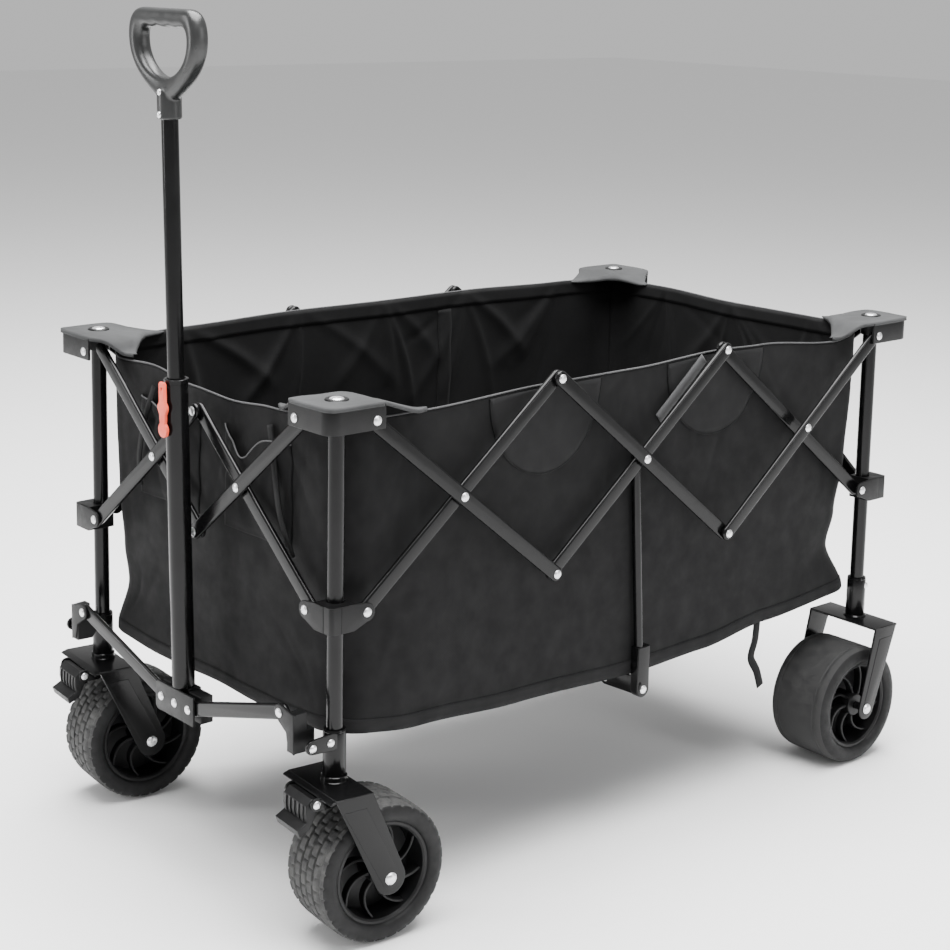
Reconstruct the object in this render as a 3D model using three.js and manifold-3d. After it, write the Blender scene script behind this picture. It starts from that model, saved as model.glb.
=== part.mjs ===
// Folding utility wagon: scissor frame, sliding corner brackets, fabric tub, telescoping pull handle,
// swivelling front casters with foot brakes and fixed rear wheels.
// Millimetres, +Z up, front (handle end) towards -Y, floor at z = 0.
// Every riveted joint has its rivet fused to the inner piece and a clearance hole in the outer one.
import * as THREE from 'three';
import { mergeVertices } from 'three/addons/utils/BufferGeometryUtils.js';
import Module from 'manifold-3d';

const wasm = await Module();
wasm.setup();

// ---- driving dimensions -------------------------------------------------------------------------
const restAngle = THREE.MathUtils.degToRad(39); // bars above the horizontal, wagon open
const outerArm = 172; // bar length, corner pivot to first crossing
const sideInnerArm = 187; // bar length, crossing to joint, long sides
const endInnerArm = 115; // bar length, crossing to joint, short ends
const sideInset = 27; // corner pivot from the post axis, long sides
const endInset = 26.5; // corner pivot from the post axis, short ends
const topPivotZ = 598;

const gap = 0.3; // running clearance
const barWidth = 18;
const barThickness = 6.6;
const layerPitch = barThickness + 2 * gap;
const sideLayer0 = 12; // inner face of layer 0, outward from the post axis, long sides
const endLayer0 = 8.4; // the same at the short ends

const postRadius = 9.5;
const postBottomZ = 196;
const postTopZ = 611.5;
const sleeveRadius = 13;
const sleeveTopZ = 249;
const stemRadius = 6; // stem of the wheel fork inside the post
const stemTopZ = 235;

const bracketTopZ = 616;
const bracketBottomZ = 588;
const bracketPlate = 4;
const skirtInner = 33.6; // inner face of the bracket skirt, outward from the post axis
const skirtOuter = 36.6;
const bracketReach = 11.5; // bracket past its rivets

const sliderAbove = 12.5; // slider above its rivets
const sliderBelow = 18;
const sliderFace = 22.4; // outer face of the slider, outward from the post axis
const sliderWall = 3.2;
const sliderEar = 10.5;
const sliderHub = 11; // hub inward from the post axis

const rivetRadius = 2.8;
const rivetHeadRadius = 5.3;
const rivetHeadHeight = 2;
const rivetHole = 3.3;

const wheelRadius = 81.5;
const rimRadius = 59;
const frontTyreWidth = 84;
const rearTyreWidth = 93;
const casterTrail = 42; // front axle behind the swivel axis
const casterYaw = THREE.MathUtils.degToRad(-5.5);
const rearAxleLead = 38; // rear axle ahead of the rear post
const axleRadius = 5;
const forkSheet = 3;
const forkBossRadius = 15.5;
const frontFork = { inside: 49.5, front: -28.5, rear: 19, top: 188, axleY: casterTrail, legEnd: 19.5 };
const rearFork = { inside: 55.5, front: -26, rear: 19, top: 193, axleY: -rearAxleLead, legEnd: 15 };

const brakePivotY = -39; // from the swivel axis
const brakePivotZ = 178;
const brakeHalfWidth = 25.2;
const brakePinRadius = 3;
const brakeBore = 3.8;

const tiltReach = 37.7; // handle tilt axis, ahead of the front post axes
const tiltZ = 238;
const tiltPinRadius = 3.8;
const tiltBore = 4.3;
const tongueInner = 8; // tongue of the front sleeves, outward from the post axis
const tongueOuter = 12;
const earPivotInset = 35.5; // front link pivot from the post axis
const earPivotZ = 267;
const linkPlateFace = 49.7; // front of the link plates, ahead of the front post axes
const linkPlate = 3;
const earLow = 226;
const earTop = 272;
const handlePivotX = 29;
const handlePivotZ = 213;
const handlePlateHalf = 41;

const handleLean = THREE.MathUtils.degToRad(1.1); // handle leans forward at rest
const handleReach = 36.2; // foot of the handle, ahead of the front post axes
const handleFootZ = 232;
const lowerTubeRadius = 13.5;
const lowerTubeBore = 11;
const lowerTubeLength = 372;
const upperTubeRadius = 9.8;
const upperTubeBore = 8;
const handleTravel = 294; // the handle shortens by this much
const gripBase = lowerTubeLength + handleTravel + 2; // grip above the handle's foot
const gripDepth = 23;
const buttonHeight = 328; // latch stem above the handle's foot
const latchLow = 304;
const latchTop = 370;
const latchThickness = 4.6;

const midPostRadius = 5.7;
const midPostLean = 20; // foot of the middle post, rearward of its rivet
const midFootZ = 187;
const midFootRadius = 10.5;
const midFootHeight = 56;
const crossPivotX = 201;
const crossRise = 14; // cross links higher at the middle than at their pivots
const crossThickness = 4;
const crossPlateY = 12; // front face of the foot plates that carry the cross links

const tubWall = 3;
const tubSideInset = 2; // tub outside, inward from the post axis, long sides
const tubEndInset = 6; // the same at the short ends
const tubChamfer = 24;
const tubBottomZ = 214;
const tubTopZ = 603;

// ---- derived frame ------------------------------------------------------------------------------
const cosRest = Math.cos(restAngle);
const sinRest = Math.sin(restAngle);
const crossZ = topPivotZ - outerArm * sinRest;
const sliderPivotZ = topPivotZ - 2 * outerArm * sinRest;
const postX = (outerArm + endInnerArm) * cosRest + endInset;
const postY = (outerArm + 2 * sideInnerArm) * cosRest + sideInset;

// ---- materials ----------------------------------------------------------------------------------
function finish(colour, roughness, metalness) {
  return new THREE.MeshStandardMaterial({ color: colour, roughness, metalness });
}
const paintedSteel = finish(0x2b2c2d, 0.42, 0.35);
const mouldedPlastic = finish(0x262728, 0.55, 0);
const tyreRubber = finish(0x343536, 0.85, 0);
const rimPlastic = finish(0x141515, 0.5, 0);
const gripPlastic = finish(0x242526, 0.35, 0);
const latchPlastic = finish(0xf0503c, 0.45, 0);
const blackFabric = finish(0x161617, 0.9, 0);

// ---- solid helpers ------------------------------------------------------------------------------
function solid(geometry) {
  const bare = geometry.clone();
  for (const name of Object.keys(bare.attributes)) {
    if (name !== 'position') bare.deleteAttribute(name);
  }
  const merged = mergeVertices(bare, 1e-4);
  const vertProperties = new Float32Array(merged.attributes.position.array);
  const triVerts = new Uint32Array(merged.index.array);
  return new wasm.Manifold(new wasm.Mesh({ numProp: 3, vertProperties, triVerts }));
}

function geometryOf(manifold) {
  const mesh = manifold.getMesh();
  const geometry = new THREE.BufferGeometry();
  geometry.setAttribute('position', new THREE.BufferAttribute(new Float32Array(mesh.vertProperties), 3));
  geometry.setIndex(new THREE.BufferAttribute(new Uint32Array(mesh.triVerts), 1));
  geometry.computeVertexNormals();
  return geometry;
}

const fuse = (...geometries) => geometryOf(geometries.map(solid).reduce((a, b) => a.add(b)));
const cut = (first, ...tools) => geometryOf(tools.map(solid).reduce((a, b) => a.subtract(b), solid(first)));

// A box between two corners.
function box(low, high) {
  const size = high.map((v, i) => v - low[i]);
  return new THREE.BoxGeometry(...size).translate(...low.map((v, i) => v + size[i] / 2));
}

// A round solid about +Z from profile points [radius, z] that start and end on the axis.
function turned(profile, segments) {
  const points = profile.map(([r, z]) => new THREE.Vector2(r, z));
  return new THREE.LatheGeometry(points, segments).rotateX(Math.PI / 2);
}

function rod(radius, low, high, segments = 8) {
  return turned([[0, low], [radius, low], [radius, high], [0, high]], segments);
}

function tube(outer, inner, low, high, segments = 14) {
  return turned([[inner, low], [outer, low], [outer, high], [inner, high], [inner, low]], segments);
}

// A flat outline in (u, v) pushed from w = low to w = high.
function sheet(shape, low, high, curveSegments = 3) {
  const settings = { depth: high - low, bevelEnabled: false, curveSegments };
  return new THREE.ExtrudeGeometry(shape, settings).translate(0, 0, low);
}

function outline(points) {
  const corners = points.map(([u, v]) => new THREE.Vector2(u, v));
  return new THREE.Shape(THREE.ShapeUtils.isClockWise(corners) ? corners.reverse() : corners);
}

function roundHole([u, v], radius) {
  const hole = new THREE.Path();
  hole.absarc(u, v, radius, 0, 2 * Math.PI, true);
  return hole;
}

// A shape with one round end about each of two points.
function roundEnded([u0, v0], r0, [u1, v1], r1) {
  const along = Math.atan2(v1 - v0, u1 - u0);
  const spread = Math.acos((r0 - r1) / Math.hypot(u1 - u0, v1 - v0));
  const shape = new THREE.Shape();
  shape.absarc(u0, v0, r0, along + spread, along - spread + 2 * Math.PI, false);
  shape.absarc(u1, v1, r1, along - spread, along + spread, false);
  return shape;
}

function arcPoints([u, v], radius, from, to, steps) {
  return Array.from({ length: steps + 1 }, (_, i) => {
    const t = from + ((to - from) * i) / steps;
    return [u + radius * Math.cos(t), v + radius * Math.sin(t)];
  });
}

// A rivet along w at (u, v): shank from `from`, head resting just clear of `face`.
function rivet([u, v], from, face) {
  const seat = face + gap;
  const top = seat + rivetHeadHeight;
  const profile = [
    [0, from], [rivetRadius, from], [rivetRadius, seat], [rivetHeadRadius, seat],
    [rivetHeadRadius * 0.7, top], [0, top],
  ];
  return turned(profile, 6).translate(u, v, 0);
}

// Sheets are drawn in (u, v, w). A side sheet has u along +Y and w along +X, an end sheet has
// u along +X and w along -Y, and both have v up.
const alongX = new THREE.Vector3(1, 0, 0);
const alongY = new THREE.Vector3(0, 1, 0);
const upward = new THREE.Vector3(0, 0, 1);
const forward = new THREE.Vector3(0, -1, 0);
const sideBasis = new THREE.Matrix4().makeBasis(alongY, upward, alongX);
const endBasis = new THREE.Matrix4().makeBasis(alongX, upward, forward);
const onSide = (geometry) => geometry.applyMatrix4(sideBasis);
const onEnd = (geometry) => geometry.applyMatrix4(endBasis);

// ---- scene graph --------------------------------------------------------------------------------
const wagon = new THREE.Group();

function piece(parent, name, geometry, material) {
  const mesh = new THREE.Mesh(geometry, material);
  mesh.name = name;
  parent.add(mesh);
}

function groupAt(parent, x, y, z, turn = 0) {
  const group = new THREE.Group();
  group.position.set(x, y, z);
  group.rotation.z = turn;
  parent.add(group);
  return group;
}

function framed(parent, basis) {
  const group = new THREE.Group();
  group.applyMatrix4(basis);
  parent.add(group);
  return group;
}

// ---- scissor bars -------------------------------------------------------------------------------
function bar(parent, name, from, to, low, holes, rivets) {
  const shape = roundEnded(from, barWidth / 2, to, barWidth / 2);
  shape.holes.push(...holes.map((centre) => roundHole(centre, rivetHole)));
  const flat = sheet(shape, low, low + barThickness);
  const pins = rivets.map(({ at, face }) => rivet(at, low + 1, face));
  piece(parent, name, pins.length ? fuse(flat, ...pins) : flat, paintedSteel);
}

const sideLow = (layer) => sideLayer0 + layer * layerPitch;
const sideOut = (layer) => sideLow(layer) + barThickness;
const endLow = (layer) => endLayer0 + layer * layerPitch;
const endOut = (layer) => endLow(layer) + barThickness;
const endSliderFace = endOut(1) + 2 * gap + sliderWall; // slider ear over an outer-layer end bar

// One long side, seen from outside: three scissor crossings between the posts.
function sideBars(parent, side, first, last) {
  const rise = sideInnerArm * sinRest;
  const cell = sideInnerArm * cosRest;
  const corner = postY - sideInset;
  const T0 = [-corner, topPivotZ];
  const T3 = [corner, topPivotZ];
  const S0 = [-corner, sliderPivotZ];
  const S3 = [corner, sliderPivotZ];
  const T1 = [-cell, crossZ + rise];
  const T2 = [cell, crossZ + rise];
  const B1 = [-cell, crossZ - rise];
  const B2 = [cell, crossZ - rise];
  const X1 = [-2 * cell, crossZ];
  const X2 = [0, crossZ];
  const X3 = [2 * cell, crossZ];
  bar(parent, `${side}_side_${first}_top_bar`, T0, B1, sideLow(1), [X1, B1],
    [{ at: T0, face: skirtOuter }]);
  bar(parent, `${side}_side_${first}_slider_bar`, S0, T1, sideLow(0), [],
    [{ at: S0, face: sliderFace }, { at: X1, face: sideOut(1) }, { at: T1, face: sideOut(1) }]);
  bar(parent, `${side}_side_middle_outer_bar`, T1, B2, sideLow(1), [T1, X2],
    [{ at: B2, face: sideOut(2) }]);
  bar(parent, `${side}_side_middle_inner_bar`, B1, T2, sideLow(0), [X2, T2],
    [{ at: B1, face: sideOut(1) }]);
  bar(parent, `${side}_side_${last}_slider_bar`, T2, S3, sideLow(-1), [],
    [{ at: T2, face: sideOut(0) }, { at: X3, face: sideOut(2) }, { at: S3, face: sliderFace }]);
  bar(parent, `${side}_side_${last}_top_bar`, B2, T3, sideLow(2), [B2, X3],
    [{ at: T3, face: skirtOuter }]);
}

// One short end, seen from outside: two crossings that meet at the middle.
function endBars(parent, end, first, last) {
  const rise = endInnerArm * sinRest;
  const cross = endInnerArm * cosRest;
  const corner = postX - endInset;
  const T0 = [-corner, topPivotZ];
  const T2 = [corner, topPivotZ];
  const S0 = [-corner, sliderPivotZ];
  const S2 = [corner, sliderPivotZ];
  const T1 = [0, crossZ + rise];
  const B1 = [0, crossZ - rise];
  const X1 = [-cross, crossZ];
  const X2 = [cross, crossZ];
  bar(parent, `${end}_end_${first}_top_bar`, T0, B1, endLow(0), [],
    [{ at: T0, face: skirtOuter }, { at: X1, face: endOut(1) }, { at: B1, face: endOut(1) }]);
  bar(parent, `${end}_end_${first}_slider_bar`, S0, T1, endLow(1), [X1, T1],
    [{ at: S0, face: endSliderFace }]);
  bar(parent, `${end}_end_${last}_slider_bar`, T1, S2, endLow(0), [],
    [{ at: T1, face: endOut(1) }, { at: X2, face: endOut(1) }, { at: S2, face: sliderFace }]);
  bar(parent, `${end}_end_${last}_top_bar`, B1, T2, endLow(1), [B1, X2],
    [{ at: T2, face: skirtOuter }]);
}

// ---- corner pieces, in a frame at the post axis -------------------------------------------------
// a runs outward past the long side, b outward past the short end; flip -1 mirrors a for the other hand.
function cornerSheet(flip, points, low, high) {
  return sheet(outline(points.map(([a, b]) => [flip * a, -b])), low, high);
}

// A drill through an ear of the long side or of the short end.
function sideDrill(flip, along, z, from, to) {
  return rod(rivetHole, from, to).rotateY(flip * Math.PI / 2).translate(0, along, z);
}

function endDrill(flip, along, z, from, to) {
  return rod(rivetHole, from, to).rotateX(Math.PI / 2).translate(-flip * along, 0, z);
}

function topBracket(parent, name, flip) {
  const cornerRadius = 16;
  const innerCorner = 11; // plate past the post, inward
  const innerCut = 16;
  const centre = skirtOuter - cornerRadius;
  const sideEnd = -(sideInset + bracketReach);
  const endEnd = -(endInset + bracketReach);
  const plateLow = bracketTopZ - bracketPlate;
  const outerRound = arcPoints([centre, centre], cornerRadius, 0, Math.PI / 2, 4);
  const innerRound = arcPoints([centre, centre], skirtInner - centre, Math.PI / 2, 0, 4);
  const plate = [
    [skirtOuter, sideEnd], ...outerRound, [endEnd, skirtOuter], [endEnd, 4],
    [-innerCut, -innerCorner], [-innerCorner, -innerCut], [4, sideEnd],
  ];
  const skirt = [
    [skirtInner, sideEnd], [skirtOuter, sideEnd], ...outerRound, [endEnd, skirtOuter],
    [endEnd, skirtInner], ...innerRound,
  ];
  const body = fuse(
    cornerSheet(flip, plate, plateLow, bracketTopZ),
    cornerSheet(flip, skirt, bracketBottomZ, plateLow + 0.5),
    tube(postRadius + 4, postRadius + gap, bracketBottomZ + 6, plateLow + 0.5),
  );
  const from = skirtInner - 2;
  const to = skirtOuter + 2;
  const drills = [
    sideDrill(flip, sideInset, topPivotZ, from, to),
    endDrill(flip, endInset, topPivotZ, from, to),
  ];
  piece(parent, name, cut(body, ...drills), mouldedPlastic);
}

// The slider runs on the post. Its end ear stands further out where the end bar is in the outer layer.
function slider(parent, name, flip, endFace) {
  const low = sliderPivotZ - sliderBelow;
  const high = sliderPivotZ + sliderAbove;
  const inner = -(sliderHub + 1);
  const hubOutline = [[inner, -sliderHub], [sliderFace, -sliderHub], [sliderFace, endFace], [inner, endFace]];
  const hub = cornerSheet(flip, hubOutline, low, high);
  const sideShape = roundEnded([0, sliderPivotZ], sliderEar, [sideInset, sliderPivotZ], sliderEar);
  const endShape = roundEnded([0, sliderPivotZ], sliderEar, [-flip * endInset, sliderPivotZ], sliderEar);
  const sideEar = flip > 0
    ? sheet(sideShape, sliderFace - sliderWall, sliderFace)
    : sheet(sideShape, -sliderFace, sliderWall - sliderFace);
  const endEar = sheet(endShape, endFace - sliderWall, endFace);
  const body = fuse(hub, onSide(sideEar), onEnd(endEar));
  const bore = rod(postRadius + gap, low - 1, high + 1, 12);
  const drills = [
    sideDrill(flip, sideInset, sliderPivotZ, sliderFace - sliderWall - 1, sliderFace + 1),
    endDrill(flip, endInset, sliderPivotZ, endFace - sliderWall - 1, endFace + 1),
  ];
  piece(parent, name, cut(body, bore, ...drills), mouldedPlastic);
}

// Post with its lower sleeve, hollow at the foot for the stem of the wheel fork. A front post also
// has the tongue and the pin on which the handle tilts.
function post(parent, name, flip, isFront) {
  const round = turned([
    [0, stemTopZ + 1], [stemRadius + gap, stemTopZ + 1], [stemRadius + gap, postBottomZ],
    [sleeveRadius, postBottomZ], [sleeveRadius, sleeveTopZ],
    [postRadius, sleeveTopZ], [postRadius, postTopZ], [0, postTopZ],
  ], 12);
  if (!isFront) {
    piece(parent, name, round, paintedSteel);
    return;
  }
  const shape = roundEnded([-10, tiltZ], 10, [-tiltReach, tiltZ], 8);
  const low = flip > 0 ? tongueInner : -tongueOuter;
  const tongue = onSide(sheet(shape, low, low + tongueOuter - tongueInner));
  const pin = rod(tiltPinRadius, -24.5, tongueOuter - 1);
  const head = rod(5.5, tongueOuter - 0.5, tongueOuter + 2);
  const placed = [pin, head].map((g) => g.rotateY(flip * Math.PI / 2).translate(0, -tiltReach, tiltZ));
  piece(parent, name, fuse(round, tongue, ...placed), paintedSteel);
}

// ---- wheels, forks and brakes, in a frame at the post axis --------------------------------------
function wheel(parent, side, width, axleY) {
  const half = width / 2;
  const seat = rimRadius + gap;
  const rim = half - 5;
  const tyre = turned([
    [seat, -rim], [66, -half], [75, -half + 1.5], [80.3, -half + 7], [wheelRadius, -half + 15],
    [wheelRadius, half - 15], [80.3, half - 7], [75, half - 1.5], [66, half], [seat, rim], [seat, -rim],
  ], 24);
  const hub = turned([
    [axleRadius + gap, -rim], [15, -rim], [15, -8], [53, -6], [54, -rim], [rimRadius, -rim],
    [rimRadius, rim], [54, rim], [53, 6], [15, 8], [15, rim], [axleRadius + gap, rim],
    [axleRadius + gap, -rim],
  ], 24);
  const placed = (geometry) => geometry.rotateY(Math.PI / 2).translate(0, axleY, wheelRadius);
  piece(parent, `${side}_tyre`, placed(tyre), tyreRubber);
  piece(parent, `${side}_rim`, placed(hub), rimPlastic);
}

// A fork leg in (y, z): a flat top edge drawn in to a round end about the axle.
function legOutline(front, rear, top, axleY, radius) {
  const tangent = (y, side) => {
    const reach = Math.hypot(y - axleY, top - wheelRadius);
    return Math.atan2(top - wheelRadius, y - axleY) + side * Math.acos(radius / reach);
  };
  const shape = new THREE.Shape();
  shape.moveTo(rear, top);
  shape.lineTo(front, top);
  shape.absarc(axleY, wheelRadius, radius, tangent(front, 1), tangent(rear, -1) + 2 * Math.PI, false);
  return shape;
}

function forkBody({ inside, front, rear, top, axleY, legEnd }) {
  const outside = inside + forkSheet;
  const leg = legOutline(front, rear, top, axleY, legEnd);
  const stem = turned([
    [0, top - 1], [forkBossRadius, top - 1], [forkBossRadius, postBottomZ - gap],
    [stemRadius, postBottomZ - gap], [stemRadius, stemTopZ], [0, stemTopZ],
  ], 12);
  const axle = rod(axleRadius, -outside - 4, outside + 4);
  return [
    box([-outside, front, top - forkSheet], [outside, rear, top]),
    onSide(sheet(leg, inside, outside)),
    onSide(sheet(leg, -outside, -inside)),
    stem,
    axle.rotateY(Math.PI / 2).translate(0, axleY, wheelRadius),
  ];
}

function caster(parent, side) {
  const fork = forkBody(frontFork);
  const cheek = roundEnded([-22, brakePivotZ], 7.5, [brakePivotY, brakePivotZ], 7.5);
  const cheekLow = brakeHalfWidth + 0.8;
  const cheeks = [cheekLow, -cheekLow - forkSheet].map((x) => onSide(sheet(cheek, x, x + forkSheet)));
  const pinHalf = cheekLow + forkSheet + 1;
  const pin = rod(brakePinRadius, -pinHalf, pinHalf, 10).rotateY(Math.PI / 2)
    .translate(0, brakePivotY, brakePivotZ);
  piece(parent, `${side}_fork`, fuse(...fork, ...cheeks, pin), paintedSteel);

  const pedal = outline([
    [-34, 173], [-34, 182], [-43, 184], [-51, 176], [-50, 158], [-61, 151], [-57, 143], [-44, 150],
  ]);
  pedal.holes.push(roundHole([brakePivotY, brakePivotZ], brakeBore));
  const flap = onSide(sheet(pedal, -brakeHalfWidth, brakeHalfWidth));
  piece(parent, `${side}_brake_pedal`, flap, mouldedPlastic);
  wheel(parent, side, frontTyreWidth, casterTrail);
}

function rearWheel(parent, side) {
  piece(parent, `${side}_fork`, fuse(...forkBody(rearFork)), paintedSteel);
  wheel(parent, side, rearTyreWidth, -rearAxleLead);
}

// ---- middle posts and cross links ---------------------------------------------------------------
// Drawn in the frame of a long side. sense is the direction of +Y along u.
function midPost(parent, name, sense) {
  const low = sideLow(-1);
  const lean = sense * midPostLean;
  const height = crossZ - midFootZ;
  const footOut = sideOut(-1) + 1;
  const stem = rod(midPostRadius, 30, Math.hypot(height, lean)).rotateX(-Math.PI / 2)
    .rotateZ(Math.atan2(lean, height)).translate(lean, midFootZ, low + 0.6);
  const eye = rod(9, low, sideOut(-1)).translate(0, crossZ, 0);
  const foot = outline([
    [lean + midFootRadius, midFootZ], [lean + midFootRadius, midFootZ + midFootHeight],
    [lean - midFootRadius, midFootZ + midFootHeight],
    ...arcPoints([lean, midFootZ], midFootRadius, Math.PI, 2 * Math.PI, 6).slice(0, -1),
  ]);
  const pivotW = crossPivotX - postX;
  const plate = roundEnded([2, midFootZ + 5], 12, [pivotW, midFootZ], 9);
  plate.holes.push(roundHole([pivotW, midFootZ], rivetHole));
  const plateLow = sense > 0 ? -crossPlateY - 4 : crossPlateY;
  const inward = sheet(plate, plateLow, plateLow + 4).rotateY(-Math.PI / 2);
  const body = fuse(stem, eye, rivet([0, crossZ], low + 1, sideOut(1)), sheet(foot, -1, footOut), inward);
  piece(parent, name, body, paintedSteel);
}

// The cross links pass each other under the middle of the floor, one behind the other.
function crossLink(parent, name, side, layer) {
  const high = -(crossPlateY + 4 + 2 * gap + layer * (crossThickness + 2 * gap));
  const pivot = [side * crossPivotX, midFootZ];
  const link = sheet(roundEnded(pivot, 8, [0, midFootZ + crossRise], 8), high - crossThickness, high);
  piece(parent, name, fuse(link, rivet(pivot, high - crossThickness + 1, -crossPlateY)), paintedSteel);
}

// ---- handle linkage, drawn in the frame of the front end ----------------------------------------
function earBlock(parent, name, side) {
  const pivotX = postX - earPivotInset;
  const inner = pivotX + 13;
  const outer = postX - 8.5;
  const plate = outline([
    [outer, earLow], [outer, earTop], ...arcPoints([pivotX, earPivotZ], 9.5, 1.2, 3.8, 5),
    [inner, earPivotZ - 19], [inner + 4, earLow + 2],
  ].map(([x, z]) => [side * x, z]));
  plate.holes.push(roundHole([side * pivotX, earPivotZ], rivetHole));
  const back = linkPlateFace - 19;
  const stepTop = tiltZ + 13; // the block stays low behind, where the slider comes down
  const section = outline([
    [linkPlateFace - 1, earLow], [linkPlateFace - 1, earTop], [back, earTop], [back, stepTop],
    [back - 10, stepTop], [back - 10, tiltZ - 2], [back - 3, earLow],
  ]);
  const bodyLow = side > 0 ? -outer : inner;
  const body = sheet(section, bodyLow, bodyLow + outer - inner).rotateY(-Math.PI / 2);
  const bore = rod(tiltBore, -outer - 1, outer + 1).rotateY(Math.PI / 2)
    .translate(0, tiltZ, tiltReach);
  const front = sheet(plate, linkPlateFace - linkPlate, linkPlateFace);
  piece(parent, name, cut(fuse(front, body), bore), mouldedPlastic);
}

const linkOut = linkPlateFace - linkPlate - 2 * gap;
const linkLow = linkOut - barThickness;

function frontLink(parent, name, side) {
  const ear = [side * (postX - earPivotInset), earPivotZ];
  const foot = [side * handlePivotX, handlePivotZ];
  const shape = roundEnded(ear, barWidth / 2, foot, barWidth / 2);
  shape.holes.push(roundHole(foot, rivetHole));
  const link = fuse(sheet(shape, linkLow, linkOut), rivet(ear, linkLow + 1, linkPlateFace));
  piece(parent, name, link, paintedSteel);
}

// Front plate and rear block with the links between them, and the spigot for the lower tube. Only the
// left link turns on a pin here; the right one stays free behind the plate.
function handleBracket(parent) {
  const low = handlePivotZ - 18;
  const top = handleFootZ - gap;
  const plateLow = linkPlateFace - linkPlate;
  const blockBack = handleReach - 14.5;
  const blockFront = linkLow - 2 * gap;
  const neckHalf = 7;
  const spigot = rod(lowerTubeBore - gap, -1, 13).rotateX(-Math.PI / 2).rotateX(handleLean)
    .translate(0, handleFootZ, handleReach);
  const heads = [-handlePivotX, 0, handlePivotX].map(
    (x) => rivet([x, handlePivotZ], plateLow + 1, linkPlateFace - gap),
  );
  const pin = rod(rivetRadius, blockFront - 2, plateLow + 1, 8).translate(-handlePivotX, handlePivotZ, 0);
  const body = fuse(
    box([-handlePlateHalf, low, plateLow], [handlePlateHalf, handlePivotZ + 18, linkPlateFace]),
    box([-handlePlateHalf, low + 1, blockBack], [handlePlateHalf, handlePivotZ + 16, blockFront]),
    box([-16, low + 1, blockBack], [16, top, blockFront]),
    box([-neckHalf, handlePivotZ + 15.5, blockFront - 1], [neckHalf, top, plateLow + 1]),
    spigot, pin, ...heads,
  );
  piece(parent, 'handle_bracket', body, mouldedPlastic);
}

// ---- telescoping handle, in a frame that stands on the bracket and leans with it -----------------
function gripShape() {
  const shape = new THREE.Shape();
  shape.moveTo(-14, 22);
  shape.lineTo(14, 22);
  shape.bezierCurveTo(40, 38, 72, 58, 72, 94);
  shape.bezierCurveTo(72, 114, 62, 124, 46, 124);
  shape.lineTo(-46, 124);
  shape.bezierCurveTo(-62, 124, -72, 114, -72, 94);
  shape.bezierCurveTo(-72, 58, -40, 38, -14, 22);
  const hole = new THREE.Path();
  hole.moveTo(0, 47);
  hole.bezierCurveTo(-26, 48, -49, 66, -49, 89);
  hole.bezierCurveTo(-49, 99, -44, 103, -36, 103);
  hole.lineTo(36, 103);
  hole.bezierCurveTo(44, 103, 49, 99, 49, 89);
  hole.bezierCurveTo(49, 66, 26, 48, 0, 47);
  shape.holes.push(hole);
  return shape;
}

function handle(parent) {
  const upperFoot = lowerTubeLength - 55;
  const inGrip = 20;
  const stemHole = rod(3, lowerTubeBore - 3, lowerTubeRadius + 3, 10).rotateX(Math.PI / 2)
    .translate(0, 0, buttonHeight);
  const lower = cut(tube(lowerTubeRadius, lowerTubeBore, 0, lowerTubeLength), stemHole);
  const upper = tube(upperTubeRadius, upperTubeBore, upperFoot, gripBase + inGrip);
  piece(parent, 'handle_lower_tube', lower, paintedSteel);
  piece(parent, 'handle_upper_tube', upper, paintedSteel);

  const ring = onEnd(sheet(gripShape(), -gripDepth / 2, gripDepth / 2, 7));
  const bore = rod(upperTubeRadius + gap, -1, inGrip + gap, 14);
  const grip = cut(fuse(ring, rod(14, 0, 30, 14)), bore).translate(0, 0, gripBase);
  piece(parent, 'handle_grip', grip, gripPlastic);

  const latchBack = lowerTubeRadius + 2.6;
  const latch = outline([
    [-4, latchLow], [4, latchLow], [8, latchLow + 8], [8, latchTop - 20], [4, latchTop], [-4, latchTop],
    [-8, latchTop - 20], [-8, latchLow + 8],
  ]);
  const stem = rod(2.5, lowerTubeBore + 1.3, latchBack + 1, 10).translate(0, buttonHeight, 0);
  const button = fuse(sheet(latch, latchBack, latchBack + latchThickness), stem);
  piece(parent, 'handle_latch', onEnd(button), latchPlastic);
}

// ---- fabric tub ---------------------------------------------------------------------------------
function fabricTub(parent) {
  const ring = (inset) => {
    const x = postX - tubSideInset - inset;
    const y = postY - tubEndInset - inset;
    const c = tubChamfer - inset * (2 - Math.SQRT2);
    return outline([
      [x, c - y], [x, y - c], [x - c, y], [c - x, y], [-x, y - c], [-x, c - y], [c - x, -y], [x - c, -y],
    ]);
  };
  const outside = sheet(ring(0), tubBottomZ, tubTopZ);
  const inside = sheet(ring(tubWall), tubBottomZ + tubWall, tubTopZ + 1);
  piece(parent, 'fabric_tub', cut(outside, inside), blackFabric);
}

// ---- assembly -----------------------------------------------------------------------------------
const halfTurn = Math.PI;
const rightSide = framed(groupAt(wagon, postX, 0, 0), sideBasis);
const leftSide = framed(groupAt(wagon, -postX, 0, 0, halfTurn), sideBasis);
const frontEnd = framed(groupAt(wagon, 0, -postY, 0), endBasis);
const rearEnd = framed(groupAt(wagon, 0, postY, 0, halfTurn), endBasis);
sideBars(rightSide, 'right', 'front', 'rear');
sideBars(leftSide, 'left', 'rear', 'front');
endBars(frontEnd, 'front', 'left', 'right');
endBars(rearEnd, 'rear', 'right', 'left');
midPost(rightSide, 'right_mid_post', 1);
midPost(leftSide, 'left_mid_post', -1);
const middle = framed(wagon, endBasis);
crossLink(middle, 'right_cross_link', 1, 0);
crossLink(middle, 'left_cross_link', -1, 1);

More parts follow.
